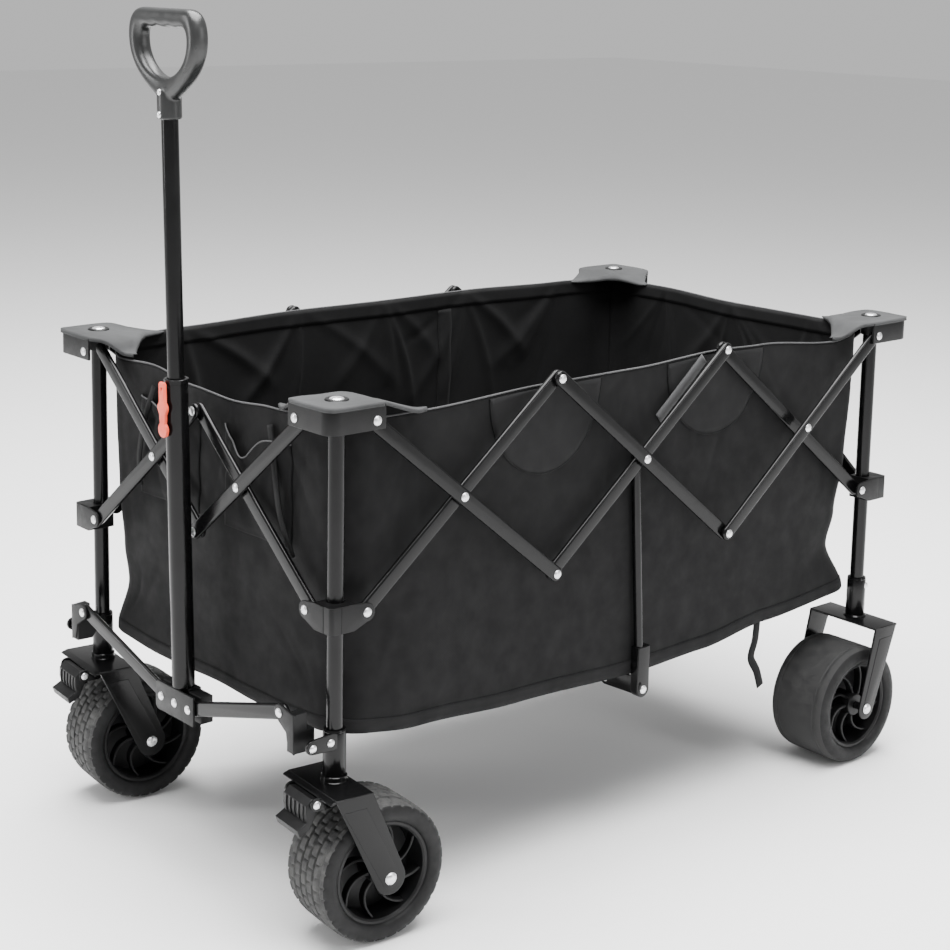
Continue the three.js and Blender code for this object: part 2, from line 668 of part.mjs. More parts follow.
const corners = [
  { name: 'front_right', x: 1, y: -1, endFace: sliderFace },
  { name: 'front_left', x: -1, y: -1, endFace: endSliderFace },
  { name: 'rear_left', x: -1, y: 1, endFace: sliderFace },
  { name: 'rear_right', x: 1, y: 1, endFace: endSliderFace },
];
for (const { name, x, y, endFace } of corners) {
  const isFront = y < 0;
  const flip = isFront ? x : -x;
  const frame = groupAt(wagon, x * postX, y * postY, 0, isFront ? 0 : halfTurn);
  topBracket(frame, `${name}_top_bracket`, flip);
  slider(frame, `${name}_slider`, flip, endFace);
  post(frame, `${name}_post`, flip, isFront);
  const below = groupAt(wagon, x * postX, y * postY, 0, isFront ? casterYaw : 0);
  if (isFront) caster(below, name);
  else rearWheel(below, name);
}

for (const [name, side] of [['left', -1], ['right', 1]]) {
  earBlock(frontEnd, `${name}_ear_block`, side);
  frontLink(frontEnd, `${name}_front_link`, side);
}
handleBracket(frontEnd);
const handleFrame = groupAt(wagon, 0, -postY - handleReach, handleFootZ);
handleFrame.rotation.x = handleLean;
handle(handleFrame);
fabricTub(wagon);

// The origin is on the floor at the middle of the whole wagon.
wagon.updateMatrixWorld(true);
const bounds = new THREE.Box3().setFromObject(wagon, true);
const centre = bounds.getCenter(new THREE.Vector3());
wagon.position.set(-centre.x, -centre.y, -bounds.min.z);

export default wagon;
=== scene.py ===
"""Looks of a folding utility wagon: scissor frame, fabric tub, casters and telescoping pull handle.

Lengths in the making functions are millimetres; the finished pieces are metres in the frame of the CAD part.
Front (handle end) is -Y, +Z is up, and the floor is z = 0.
"""
import math
from random import Random

import bmesh
import bpy
import numpy as np
from mathutils import Matrix, Vector


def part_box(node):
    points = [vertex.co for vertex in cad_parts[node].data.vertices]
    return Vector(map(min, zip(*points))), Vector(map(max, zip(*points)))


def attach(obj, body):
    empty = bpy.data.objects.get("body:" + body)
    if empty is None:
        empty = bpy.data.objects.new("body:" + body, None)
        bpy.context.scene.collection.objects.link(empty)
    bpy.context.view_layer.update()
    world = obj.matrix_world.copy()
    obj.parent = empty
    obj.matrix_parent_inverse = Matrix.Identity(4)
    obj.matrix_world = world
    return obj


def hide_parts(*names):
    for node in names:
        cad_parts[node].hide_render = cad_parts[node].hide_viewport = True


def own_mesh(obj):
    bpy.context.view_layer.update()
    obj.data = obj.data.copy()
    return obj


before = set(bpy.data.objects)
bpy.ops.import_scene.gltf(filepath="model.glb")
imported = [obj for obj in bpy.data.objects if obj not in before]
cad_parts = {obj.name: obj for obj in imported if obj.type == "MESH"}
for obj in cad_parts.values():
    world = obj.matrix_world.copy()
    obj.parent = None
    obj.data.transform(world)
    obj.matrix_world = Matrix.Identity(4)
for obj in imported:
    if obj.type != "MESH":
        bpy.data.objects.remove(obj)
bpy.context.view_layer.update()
MM = 0.001

# ---- driving dimensions, as in the CAD part ----------------------------------------------------
REST = math.radians(39)
OUTER_ARM, SIDE_ARM, END_ARM = 172, 187, 115
SIDE_INSET, END_INSET = 27, 26.5
TOP_PIVOT_Z = 598
BAR_WIDTH, BAR_THICKNESS, LAYER_PITCH = 18, 6.6, 7.2
SIDE_LAYER, END_LAYER = 12, 8.4
POST_RADIUS, SLEEVE_RADIUS = 9.5, 13
POST_BOTTOM, POST_TOP, SLEEVE_TOP = 196, 611.5, 249
SKIRT_OUTER, SKIRT_WALL = 36.6, 3
BRACKET_BOTTOM, BRACKET_TOP = 588, 616
BRACKET_REACH = 11.5
SLIDER_FACE, SLIDER_WALL = 22.4, 3.2
WHEEL_RADIUS, RIM_RADIUS = 81.5, 59
CASTER_TRAIL, REAR_LEAD = 42, 38
CASTER_YAW = math.radians(-5.5)
TILT_REACH, TILT_Z = 37.7, 238
EAR_PIVOT_INSET, EAR_PIVOT_Z = 35.5, 267
LINK_PLATE_FACE = 49.7
HANDLE_PIVOT_X, HANDLE_PIVOT_Z = 29, 213
HANDLE_REACH, HANDLE_FOOT_Z = 36.2, 232
HANDLE_LEAN = math.radians(1.1)
MID_FOOT_Z, MID_LEAN = 187, 20
CROSS_PIVOT_X, CROSS_RISE = 201, 14
FRONT_TYRE_WIDTH, REAR_TYRE_WIDTH = 84, 93
FRONT_FORK_INSIDE, REAR_FORK_INSIDE, FORK_METAL = 49.5, 55.5, 3
FRONT_FORK_TOP, REAR_FORK_TOP = 188, 193
BRAKE_PIVOT = (-39, 178)
SLEEVE_BORE = 6.5
GRIP_FOOT = 668
CORNERS = ("front_right", "front_left", "rear_left", "rear_right")

CROSS_Z = TOP_PIVOT_Z - OUTER_ARM * math.sin(REST)
SLIDER_Z = TOP_PIVOT_Z - 2 * OUTER_ARM * math.sin(REST)
POST_X = (OUTER_ARM + END_ARM) * math.cos(REST) + END_INSET
POST_Y = (OUTER_ARM + 2 * SIDE_ARM) * math.cos(REST) + SIDE_INSET
rear_post_low, rear_post_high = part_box("rear_left_post")
MID_Y = (rear_post_low.y + rear_post_high.y) / 2 / MM - POST_Y

# ---- camera and light --------------------------------------------------------------------------


def make_camera():
    """Stands at the front right of the wagon, a little above its rim."""
    place = Vector((1914.1, MID_Y - 1691.7, 1080.2)) * MM
    azimuth, elevation, roll = (math.radians(a) for a in (48.91, 10.23, 1.18))
    level_share = math.cos(elevation)
    back = Vector((math.sin(azimuth) * level_share, -math.cos(azimuth) * level_share, math.sin(elevation)))
    level = Vector((math.cos(azimuth), math.sin(azimuth), 0))
    upright = back.cross(level)
    right = math.cos(roll) * level + math.sin(roll) * upright
    up = -math.sin(roll) * level + math.cos(roll) * upright
    data = bpy.data.cameras.new("camera")
    data.lens = 75.3
    data.sensor_width = 36
    data.shift_x = -0.0134
    data.shift_y = -0.1623
    data.clip_end = 50
    camera = bpy.data.objects.new("camera", data)
    camera.matrix_world = Matrix.Translation(place) @ Matrix((right, up, back)).transposed().to_4x4()
    bpy.context.scene.collection.objects.link(camera)
    bpy.context.scene.camera = camera


def area_light(name, place, aim, size, power):
    data = bpy.data.lights.new(name, "AREA")
    data.shape = "RECTANGLE"
    data.size, data.size_y = size
    data.energy = power
    light = bpy.data.objects.new(name, data)
    light.location = place
    light.rotation_mode = "QUATERNION"
    light.rotation_quaternion = (Vector(aim) - Vector(place)).to_track_quat("-Z", "Y")
    bpy.context.scene.collection.objects.link(light)


def make_studio():
    world = bpy.data.worlds.new("studio")
    world.use_nodes = True
    background = world.node_tree.nodes["Background"]
    background.inputs["Color"].default_value = (1, 1, 1, 1)
    background.inputs["Strength"].default_value = 0.62
    bpy.context.scene.world = world
    area_light("overhead", (0.1, -0.1, 3.3), (0, 0, 0), (2.8, 3.4), 520)
    area_light("key", (-2.4, -3.2, 1.5), (0, 0, 0.5), (0.5, 2.4), 60)
    area_light("edge", (3.4, 1.4, 1.6), (0, 0, 0.5), (0.4, 1.8), 30)
    bpy.ops.mesh.primitive_plane_add(size=30, location=(0, 0, -0.0005))
    floor = bpy.context.object
    floor.name = "floor"
    floor.data.materials.append(plain_material("floor", (0.9, 0.9, 0.9), 0.9))


# ---- materials ---------------------------------------------------------------------------------


def plain_material(name, colour, roughness, metallic=0.0):
    made = bpy.data.materials.new(name)
    made.use_nodes = True
    shader = made.node_tree.nodes["Principled BSDF"]
    shader.inputs["Base Color"].default_value = (*colour, 1)
    shader.inputs["Roughness"].default_value = roughness
    shader.inputs["Metallic"].default_value = metallic
    return made


class Surface:
    """A node material: layers of noise or weave drive its colour, roughness and bump."""

    def __init__(self, name, colour, roughness, metallic=0.0):
        self.material = plain_material(name, colour, roughness, metallic)
        self.tree = self.material.node_tree
        self.shader = self.tree.nodes["Principled BSDF"]
        self.coordinates = self.tree.nodes.new("ShaderNodeTexCoord").outputs["Object"]
        self.normal = None

    def node(self, kind, inputs=(), **settings):
        made = self.tree.nodes.new(kind)
        for key, value in settings.items():
            setattr(made, key, value)
        for key, value in dict(inputs).items():
            if isinstance(value, bpy.types.NodeSocket):
                self.tree.links.new(value, made.inputs[key])
            else:
                made.inputs[key].default_value = value
        return made

    def noise(self, scale, detail=3.0, roughness=0.55):
        inputs = {"Vector": self.coordinates, "Scale": scale, "Detail": detail, "Roughness": roughness}
        return self.node("ShaderNodeTexNoise", inputs).outputs["Fac"]

    def ramp(self, value, low, high, from_value, to_value):
        inputs = {"Value": value, "From Min": low, "From Max": high, "To Min": from_value, "To Max": to_value}
        return self.node("ShaderNodeMapRange", inputs).outputs["Result"]

    def spread(self, scale, low=0, high=1, detail=3.0, roughness=0.55):
        """Noise, stretched from its usual range to low..high."""
        return self.ramp(self.noise(scale, detail, roughness), 0.3, 0.7, low, high)

    def colour_between(self, value, dark, light):
        mixer = self.tree.nodes.new("ShaderNodeMix")
        mixer.data_type = "RGBA"
        factor, first, second, mixed = mixer.inputs[0], mixer.inputs[6], mixer.inputs[7], mixer.outputs[2]
        first.default_value, second.default_value = (*dark, 1), (*light, 1)
        self.tree.links.new(value, factor)
        self.tree.links.new(mixed, self.shader.inputs["Base Color"])

    def roughness_from(self, value):
        self.tree.links.new(value, self.shader.inputs["Roughness"])

    def specular(self, level):
        self.shader.inputs["Specular IOR Level"].default_value = level

    def bump(self, height, distance, strength=1.0):
        inputs = {"Height": height, "Distance": distance, "Strength": strength}
        if self.normal is not None:
            inputs["Normal"] = self.normal
        self.normal = self.node("ShaderNodeBump", inputs).outputs["Normal"]
        self.tree.links.new(self.normal, self.shader.inputs["Normal"])


def coat(name, dark, gloss, light=None, mottle=None, grain=None, specular=None, metallic=0.0):
    """A paint, plastic, rubber or metal.

    gloss is (noise scale, smoothest, roughest), mottle is the noise scale between the two tones, and grain is
    (noise scale, detail, distance, strength) of the bump.
    """
    scale, smoothest, roughest = gloss
    s = Surface(name, dark, roughest, metallic)
    if light:
        s.colour_between(s.spread(mottle), dark, light)
    s.roughness_from(s.spread(scale, smoothest, roughest))
    if grain:
        s.bump(s.noise(*grain[:2]), *grain[2:])
    if specular:
        s.specular(specular)
    return s.material


def dusty_rubber(name, clear, dusty):
    s = Surface(name, dusty, 0.85)
    dust = s.ramp(s.noise(70, 5, 0.65), 0.35, 0.68, 0, 1)
    s.colour_between(dust, clear, dusty)
    s.roughness_from(s.ramp(dust, 0, 1, 0.7, 0.95))
    s.bump(s.noise(900, 3), 0.0004, 0.5)
    return s.material


def polyester(name, dark, light):
    """Tight plain weave: two crossed waves for the threads over soft creases of noise."""
    s = Surface(name, dark, 0.78)
    s.colour_between(s.spread(9, detail=4, roughness=0.6), dark, light)
    s.roughness_from(s.spread(40, 0.68, 0.86))
    s.bump(s.noise(28, 4, 0.6), 0.0015, 0.22)
    for axis in ("Z", "DIAGONAL"):
        wave = s.node("ShaderNodeTexWave", {"Vector": s.coordinates, "Scale": 330.0}, bands_direction=axis)
        s.bump(wave.outputs["Fac"], 0.0002, 0.25)
    s.specular(0.17)
    s.shader.inputs["Sheen Weight"].default_value = 0.02
    s.shader.inputs["Sheen Roughness"].default_value = 0.5
    return s.material


PAINT = coat("powder_coat", (0.0022, 0.0022, 0.0023), (60, 0.15, 0.24), light=(0.0045, 0.0045, 0.0047),
             mottle=22, grain=(1400, 2, 0.00012, 0.2), specular=0.22)
MOULDING = coat("moulding", (0.003, 0.003, 0.0032), (90, 0.34, 0.48), light=(0.006, 0.006, 0.0062), mottle=30,
                grain=(2200, 1, 0.0002, 0.35), specular=0.22)
TREAD = dusty_rubber("tyre_rubber", (0.016, 0.016, 0.0165), (0.07, 0.07, 0.068))
SMOOTH_TREAD = dusty_rubber("smooth_tyre_rubber", (0.008, 0.008, 0.0085), (0.028, 0.028, 0.0275))
SIDEWALL = coat("tyre_sidewall", (0.0035, 0.0035, 0.0037), (120, 0.5, 0.7), light=(0.0085, 0.0085, 0.0088),
                mottle=40, grain=(1200, 2, 0.0002, 0.3), specular=0.25)
RIM = coat("rim_plastic", (0.005, 0.005, 0.0053), (80, 0.36, 0.55),
           grain=(1500, 1, 0.0002, 0.25), specular=0.25)
GRIP = coat("grip_plastic", (0.010, 0.0105, 0.0105), (50, 0.26, 0.38), light=(0.017, 0.0175, 0.0175),
            mottle=25, grain=(1800, 1, 0.00015, 0.2))
LATCH = coat("latch_plastic", (0.78, 0.075, 0.035), (90, 0.34, 0.48), light=(0.9, 0.12, 0.06), mottle=60)
ZINC = coat("zinc", (0.78, 0.78, 0.79), (300, 0.2, 0.4), grain=(900, 2, 0.0001, 0.3), metallic=0.85)
FABRIC = polyester("polyester", (0.0022, 0.0022, 0.0024), (0.0048, 0.0048, 0.005))
PIPING = polyester("piping", (0.05, 0.05, 0.051), (0.085, 0.085, 0.087))
TAPE = polyester("tape", (0.0035, 0.0035, 0.0037), (0.0065, 0.0065, 0.0067))
PATCH = polyester("patch", (0.006, 0.006, 0.0063), (0.0105, 0.0105, 0.0108))
# Corner cap fabric: the tub's polyester painted many times lighter, a painted sheen for the light the caps
# catch at grazing angles.
CAP_FABRIC_PAINTED_SHEEN = polyester("corner_cap_fabric_painted_sheen", (0.03, 0.0305, 0.031), (0.056, 0.057, 0.058))

# ---- frames ------------------------------------------------------------------------------------


def basis(x_axis, y_axis, z_axis, origin):
    made = Matrix((x_axis, y_axis, z_axis)).transposed().to_4x4()
    made.translation = Vector(origin)
    return made


X, Y, Z = Vector((1, 0, 0)), Vector((0, 1, 0)), Vector((0, 0, 1))
HALF_TURN = Matrix.Rotation(math.pi, 4, "Z")
MIDDLE = Matrix.Translation((0, MID_Y, 0))
# Long sides: u along +Y, v up, w outward. Short ends: u along +X, v up, w outward.
RIGHT_SIDE = MIDDLE @ basis(Y, Z, X, (POST_X, 0, 0))
LEFT_SIDE = MIDDLE @ HALF_TURN @ basis(Y, Z, X, (POST_X, 0, 0))
FRONT_END = MIDDLE @ basis(X, Z, -Y, (0, -POST_Y, 0))
REAR_END = MIDDLE @ HALF_TURN @ basis(X, Z, -Y, (0, -POST_Y, 0))
SIDEWAYS = basis(Y, Z, X, (0, 0, 0))
ENDWAYS = basis(X, Z, -Y, (0, 0, 0))


def corner_frame(name):
    """At the post axis on the floor, with x and y outward signs in flip, as the CAD corners are."""
    is_front = name.startswith("front")
    is_right = name.endswith("right")
    x = POST_X if is_right else -POST_X
    y = MID_Y + (-POST_Y if is_front else POST_Y)
    place = Matrix.Translation((x, y, 0))
    flip = (1 if is_right else -1) * (1 if is_front else -1)
    return place if is_front else place @ HALF_TURN, flip


# ---- mesh making -------------------------------------------------------------------------------


def mesh_of(name, points, faces, place):
    """A mesh object in metres from points in millimetres in the frame `place`."""
    mesh = bpy.data.meshes.new(name)
    mesh.from_pydata([tuple(p) for p in points], [], [tuple(f) for f in faces])
    mesh.transform(Matrix.Scale(MM, 4) @ place)
    mesh.validate()
    made = bpy.data.objects.new(name, mesh)
    bpy.context.scene.collection.objects.link(made)
    return made


def clean(obj, merge=1e-6):
    """Merges doubled points, turns the faces outward and shades smooth between soft edges."""
    work = bmesh.new()
    work.from_mesh(obj.data)
    bmesh.ops.remove_doubles(work, verts=work.verts, dist=merge)
    bmesh.ops.recalc_face_normals(work, faces=work.faces)
    work.to_mesh(obj.data)
    work.free()
    obj.data.shade_smooth()
    obj.data.set_sharp_from_angle(angle=math.radians(38))
    return obj


def ring_faces(rings, across, closed=False):
    """Quads between neighbouring rings of `across` points each."""
    faces = []
    for i in range(rings if closed else rings - 1):
        j = (i + 1) % rings
        for k in range(across):
            n = (k + 1) % across
            faces.append((i * across + k, i * across + n, j * across + n, j * across + k))
    return faces


def lathe(name, profile, place, segments=48):
    """A round solid about +Z from (radius, z) points that end on the axis or close on themselves."""
    points = []
    for r, z in profile:
        for k in range(segments):
            t = 2 * math.pi * k / segments
            points.append((r * math.cos(t), r * math.sin(t), z))
    return clean(mesh_of(name, points, ring_faces(len(profile), segments), place))


def rounded_rod(name, radius, low, high, place, edge=0.6, segments=32):
    profile = [(0, low), (radius - edge, low), (radius, low + edge)]
    profile += [(radius, high - edge), (radius - edge, high), (0, high)]
    return lathe(name, profile, place, segments)


def circle(centre, radius, steps=28, start=0.0, turn=2 * math.pi, last=False):
    """Points on an arc; `last` adds the point where it ends."""
    angles = [start + turn * k / steps for k in range(steps + 1 if last else steps)]
    return [(centre[0] + radius * math.cos(a), centre[1] + radius * math.sin(a)) for a in angles]


def round_ended(p, r, q, s, steps=14):
    along = math.atan2(q[1] - p[1], q[0] - p[0])
    spread = math.acos((r - s) / math.hypot(q[0] - p[0], q[1] - p[1]))
    first = circle(p, r, steps, along + spread, 2 * (math.pi - spread), last=True)
    return first + circle(q, s, steps, along - spread, 2 * spread, last=True)


def plate(name, outline, low, high, place, edge=0.6, holes=(), rounds=2):
    """A flat outline in (u, v) from w = low to w = high, with rounded edges."""
    curve = bpy.data.curves.new(name, "CURVE")
    curve.dimensions = "2D"
    curve.fill_mode = "BOTH"
    curve.extrude = (high - low) / 2 - edge
    curve.bevel_depth = edge
    curve.bevel_resolution = rounds
    curve.offset = -edge
    for loop in (outline, *holes):
        spline = curve.splines.new("POLY")
        spline.points.add(len(loop) - 1)
        for point, (u, v) in zip(spline.points, loop):
            point.co = (u, v, 0, 1)
        spline.use_cyclic_u = True
    holder = bpy.data.objects.new(name, curve)
    bpy.context.scene.collection.objects.link(holder)
    bpy.context.view_layer.update()
    mesh = bpy.data.meshes.new_from_object(holder.evaluated_get(bpy.context.evaluated_depsgraph_get()))
    bpy.data.objects.remove(holder)
    bpy.data.curves.remove(curve)
    mesh.transform(Matrix.Scale(MM, 4) @ place @ Matrix.Translation((0, 0, (low + high) / 2)))
    made = bpy.data.objects.new(name, mesh)
    bpy.context.scene.collection.objects.link(made)
    return clean(made, 2e-6)


def block(name, low, high, place, edge=1.0):
    """A box between two corners with rounded edges."""
    (x0, y0, z0), (x1, y1, z1) = low, high
    return plate(name, [(x0, y0), (x1, y0), (x1, y1), (x0, y1)], z0, z1, place, edge)


def sweep(name, path, section, place):
    """A section of (side, up) points carried along a path of points."""
    path = [Vector(p) for p in path]
    count, across = len(path), len(section)
    points = []
    for i, p in enumerate(path):
        before, after = path[max(i - 1, 0)], path[min(i + 1, count - 1)]
        ahead = (after - before).normalized()
        side = ahead.cross(Z).normalized()
        top = side.cross(ahead)
        points += [p + side * a + top * b for a, b in section]
    faces = ring_faces(count, across)
    faces.append(tuple(range(across))[::-1])
    faces.append(tuple((count - 1) * across + k for k in range(across)))
    return clean(mesh_of(name, points, faces, place))


def joined(name, parts):
    """One object from several."""
    bpy.ops.object.select_all(action="DESELECT")
    for part in parts:
        part.select_set(True)
    bpy.context.view_layer.objects.active = parts[0]
    if len(parts) > 1:
        bpy.ops.object.join()
    made = parts[0]
    made.name = name
    made.data.name = name
    return made


def finished(obj, body, slot, *surfaces, replaces=()):
    if surfaces:
        obj.data.materials.clear()
        for surface in surfaces:
            obj.data.materials.append(surface)
    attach(obj, body)
    if replaces:
        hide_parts(*replaces)
    return obj


def stand_in(node, body, slot, surface, parts):
    """The detailed piece that shows in place of a CAD node."""
    return finished(joined(f"{node}_shape", parts), body, slot, surface, replaces=[node])


# ---- rivets ------------------------------------------------------------------------------------


def rivet_head(name, at, face, place, radius=5.4, height=2.2):
    """A low dome on a washer, standing on w = face."""
    profile = [(0, face), (radius, face), (radius, face + 0.5), (radius * 0.93, face + 0.8)]
    for k in range(1, 7):
        t = math.pi / 2 * k / 6
        profile.append((radius * 0.93 * math.cos(t), face + 0.8 + (height - 0.8) * math.sin(t)))
    profile[-1] = (0, face + height)
    return lathe(name, profile, place @ Matrix.Translation((at[0], at[1], 0)), 28)


def rivets(node, body, heads, place, radius=5.4):
    """heads lists (point, face) pairs; they move with the piece that carries them."""
    parts = [rivet_head(f"{node}_rivet", at, face, place, radius) for at, face in heads]
    return finished(joined(f"{node}_rivets", parts), body, "rivet", ZINC)


# ---- scissor bars ------------------------------------------------------------------------------


def side_low(layer):
    return SIDE_LAYER + layer * LAYER_PITCH


def end_low(layer):
    return END_LAYER + layer * LAYER_PITCH


def bar(node, start, end, low, heads, place):
    """A flattened tube with round ends, and a rivet head at each of heads."""
    outline = round_ended(start, BAR_WIDTH / 2, end, BAR_WIDTH / 2)
    made = plate(node, outline, low, low + BAR_THICKNESS, place, edge=2.9, rounds=4)
    stand_in(node, node, "frame_paint", PAINT, [made])
    if heads:
        rivets(node, node, heads, place)


def side_bars(side, first, last, place):
    rise, cell = SIDE_ARM * math.sin(REST), SIDE_ARM * math.cos(REST)
    corner = POST_Y - SIDE_INSET
    t0, t3 = (-corner, TOP_PIVOT_Z), (corner, TOP_PIVOT_Z)
    t1, t2 = (-cell, CROSS_Z + rise), (cell, CROSS_Z + rise)
    b1, b2 = (-cell, CROSS_Z - rise), (cell, CROSS_Z - rise)
    s0, s3 = (-corner, SLIDER_Z), (corner, SLIDER_Z)
    x1, x3 = (-2 * cell, CROSS_Z), (2 * cell, CROSS_Z)
    out = [side_low(k) + BAR_THICKNESS for k in range(3)]
    first_heads = [(s0, SLIDER_FACE), (x1, out[1]), (t1, out[1])]
    last_heads = [(t2, out[0]), (x3, out[2]), (s3, SLIDER_FACE)]
    bar(f"{side}_side_{first}_top_bar", t0, b1, side_low(1), [(t0, SKIRT_OUTER)], place)
    bar(f"{side}_side_{first}_slider_bar", s0, t1, side_low(0), first_heads, place)
    bar(f"{side}_side_middle_outer_bar", t1, b2, side_low(1), [(b2, out[2])], place)
    bar(f"{side}_side_middle_inner_bar", b1, t2, side_low(0), [(b1, out[1])], place)
    bar(f"{side}_side_{last}_slider_bar", t2, s3, side_low(-1), last_heads, place)
    bar(f"{side}_side_{last}_top_bar", b2, t3, side_low(2), [(t3, SKIRT_OUTER)], place)


END_SLIDER_FACE = end_low(1) + BAR_THICKNESS + 0.6 + SLIDER_WALL


def end_bars(end, first, last, place):
    rise, cross = END_ARM * math.sin(REST), END_ARM * math.cos(REST)
    corner = POST_X - END_INSET
    t0, t1, t2 = (-corner, TOP_PIVOT_Z), (0, CROSS_Z + rise), (corner, TOP_PIVOT_Z)
    b1 = (0, CROSS_Z - rise)
    s0, s2 = (-corner, SLIDER_Z), (corner, SLIDER_Z)
    x1, x2 = (-cross, CROSS_Z), (cross, CROSS_Z)
    out = end_low(1) + BAR_THICKNESS
    bar(f"{end}_end_{first}_top_bar", t0, b1, end_low(0), [(t0, SKIRT_OUTER), (x1, out), (b1, out)], place)
    bar(f"{end}_end_{first}_slider_bar", s0, t1, end_low(1), [(s0, END_SLIDER_FACE)], place)
    bar(f"{end}_end_{last}_slider_bar", t1, s2, end_low(0), [(t1, out), (x2, out), (s2, SLIDER_FACE)], place)
    bar(f"{end}_end_{last}_top_bar", b1, t2, end_low(1), [(t2, SKIRT_OUTER)], place)


# ---- corner pieces -----------------------------------------------------------------------------


def mirrored(points, flip):
    return [(flip * a, -b) for a, b in points]


def post(name, body, place, flip, is_front):
    tube = lathe(f"{name}_post", [
        (0, SLEEVE_TOP - 2), (POST_RADIUS, SLEEVE_TOP - 2), (POST_RADIUS, POST_TOP - 1),
        (POST_RADIUS - 1, POST_TOP), (0, POST_TOP),
    ], place)
    sleeve = lathe(f"{name}_sleeve", [
        (SLEEVE_BORE, POST_BOTTOM), (SLEEVE_RADIUS - 0.6, POST_BOTTOM), (SLEEVE_RADIUS, POST_BOTTOM + 1),
        (SLEEVE_RADIUS, SLEEVE_TOP - 4), (SLEEVE_RADIUS - 0.4, SLEEVE_TOP - 3),
        (SLEEVE_RADIUS, SLEEVE_TOP - 2), (SLEEVE_RADIUS - 0.8, SLEEVE_TOP),
        (POST_RADIUS + 0.6, SLEEVE_TOP), (POST_RADIUS + 0.2, SLEEVE_TOP - 3),
        (SLEEVE_BORE, SLEEVE_TOP - 4), (SLEEVE_BORE, POST_BOTTOM),
    ], place)
    parts = [tube, sleeve]
    heads = [((-flip * 6, TILT_Z - 1), SLEEVE_RADIUS - 1.8)]
    if is_front:
        low = 8 if flip > 0 else -12
        tongue = round_ended((-10, TILT_Z), 10, (-TILT_REACH, TILT_Z), 8)
        parts.append(plate("tongue", tongue, low, low + 4, place @ SIDEWAYS, 0.8))
        heads = [((-flip * 14, TILT_Z), 12.4), ((-flip * TILT_REACH, TILT_Z - 1), 12)]
    stand_in(f"{name}_post", body, "frame_paint", PAINT, parts)
    outward = place @ (SIDEWAYS if flip > 0 else basis(-Y, Z, -X, (0, 0, 0)))
    rivets(f"{name}_post", body, heads, outward, 4.6)


def top_bracket(name, body, place, flip):
    node = f"{name}_top_bracket"
    side_end, end_end = -(SIDE_INSET + BRACKET_REACH), -(END_INSET + BRACKET_REACH)
    radius = 16
    centre = SKIRT_OUTER - radius
    rounding = circle((centre, centre), radius, 8, 0, math.pi / 2, last=True)
    inner = circle((centre, centre), radius - SKIRT_WALL, 8, math.pi / 2, -math.pi / 2, last=True)
    top = [(SKIRT_OUTER, side_end), *rounding, (end_end, SKIRT_OUTER), (end_end, 6)]
    top += [(-16, -11), (-11, -16), (6, side_end)]
    wall = SKIRT_OUTER - SKIRT_WALL
    skirt = [(wall, side_end), (SKIRT_OUTER, side_end), *rounding]
    skirt += [(end_end, SKIRT_OUTER), (end_end, wall), *inner]
    parts = [
        plate(node, mirrored(top, flip), BRACKET_TOP - 4, BRACKET_TOP, place, 1.2),
        plate(node, mirrored(skirt, flip), BRACKET_BOTTOM, BRACKET_TOP - 1.5, place, 0.9),
        lathe(node, [(10, 593), (13.5, 593), (13.5, 613), (10, 613), (10, 593)], place),
    ]
    stand_in(node, body, "moulding", MOULDING, parts)


def slider(name, place, flip, end_face):
    node = f"{name}_slider"
    low, high = SLIDER_Z - 18, SLIDER_Z + 12.5
    side_face, rear_face = SLIDER_FACE - 0.6, end_face - 0.6
    hub = [(-12, -11), (side_face, -11), (side_face, rear_face - 5)]
    hub += circle((side_face - 5, rear_face - 5), 5, 6, 0, math.pi / 2, last=True)[1:]
    hub += [(-12, rear_face)]
    bore = circle((0, 0), POST_RADIUS + 0.3, 36)

    def ear(inset, side):
        """Cheek from the full height of the hub to a round end about the rivet."""
        start, turn = (-math.pi / 2, math.pi) if side > 0 else (-math.pi / 2, -math.pi)
        tip = circle((side * inset, SLIDER_Z), 10.5, 12, start, turn, last=True)
        return [(-side * 8, low), (side * 9, low), *tip, (side * 9, high), (-side * 8, high)]

    side_w = sorted((flip * (SLIDER_FACE - SLIDER_WALL), flip * SLIDER_FACE))
    parts = [
        plate(node, mirrored(hub, flip), low, high, place, 0.4, holes=[bore]),
        plate(node, ear(SIDE_INSET, 1), *side_w, place @ SIDEWAYS, 0.8),
        plate(node, ear(END_INSET, -flip), end_face - SLIDER_WALL, end_face, place @ ENDWAYS, 0.8),
    ]
    stand_in(node, f"{name}_slider", "moulding", MOULDING, parts)


# ---- wheels ------------------------------------------------------------------------------------


TYRE_STEPS, SPOKES = 252, 8


def tyre_mesh(name, width, place, tread, rubber):
    """A grid round the tyre; tread(x, angle) says how far the crown is cut in."""
    half = width / 2
    side = [
        (RIM_RADIUS + 0.3, half - 5), (62, half - 1.5), (66, half), (71, half - 0.3), (75, half - 1.5),
        (78.4, half - 4), (80.3, half - 7), (81.1, half - 11),
    ]
    stations = np.arange(half - 14, -(half - 13.5), -1.0)
    crown = [(WHEEL_RADIUS - 0.25 * (abs(x) / (half - 15)) ** 2, x) for x in stations]
    profile = side + crown + [(r, -x) for r, x in reversed(side)]
    points = []
    for k in range(TYRE_STEPS):
        angle = 2 * math.pi * k / TYRE_STEPS
        for r, x in profile:
            cut = tread(x, angle) if r > 77 else 0
            points.append(((r - cut) * math.cos(angle), (r - cut) * math.sin(angle), x))
    count = len(profile)
    made = clean(mesh_of(name, points, ring_faces(TYRE_STEPS, count, closed=True), place))
    made.data.set_sharp_from_angle(angle=math.radians(50))
    made.data.materials.append(rubber)
    made.data.materials.append(SIDEWALL)
    for face in made.data.polygons:
        i = face.index % count
        face.material_index = 0 if 5 <= i < count - 7 else 1
    return made


def groove(distance, half_width, depth):
    """Depth of a groove with sloped walls, by distance from its middle."""
    return depth * min(1.0, max(0.0, (half_width - distance) / 0.7))


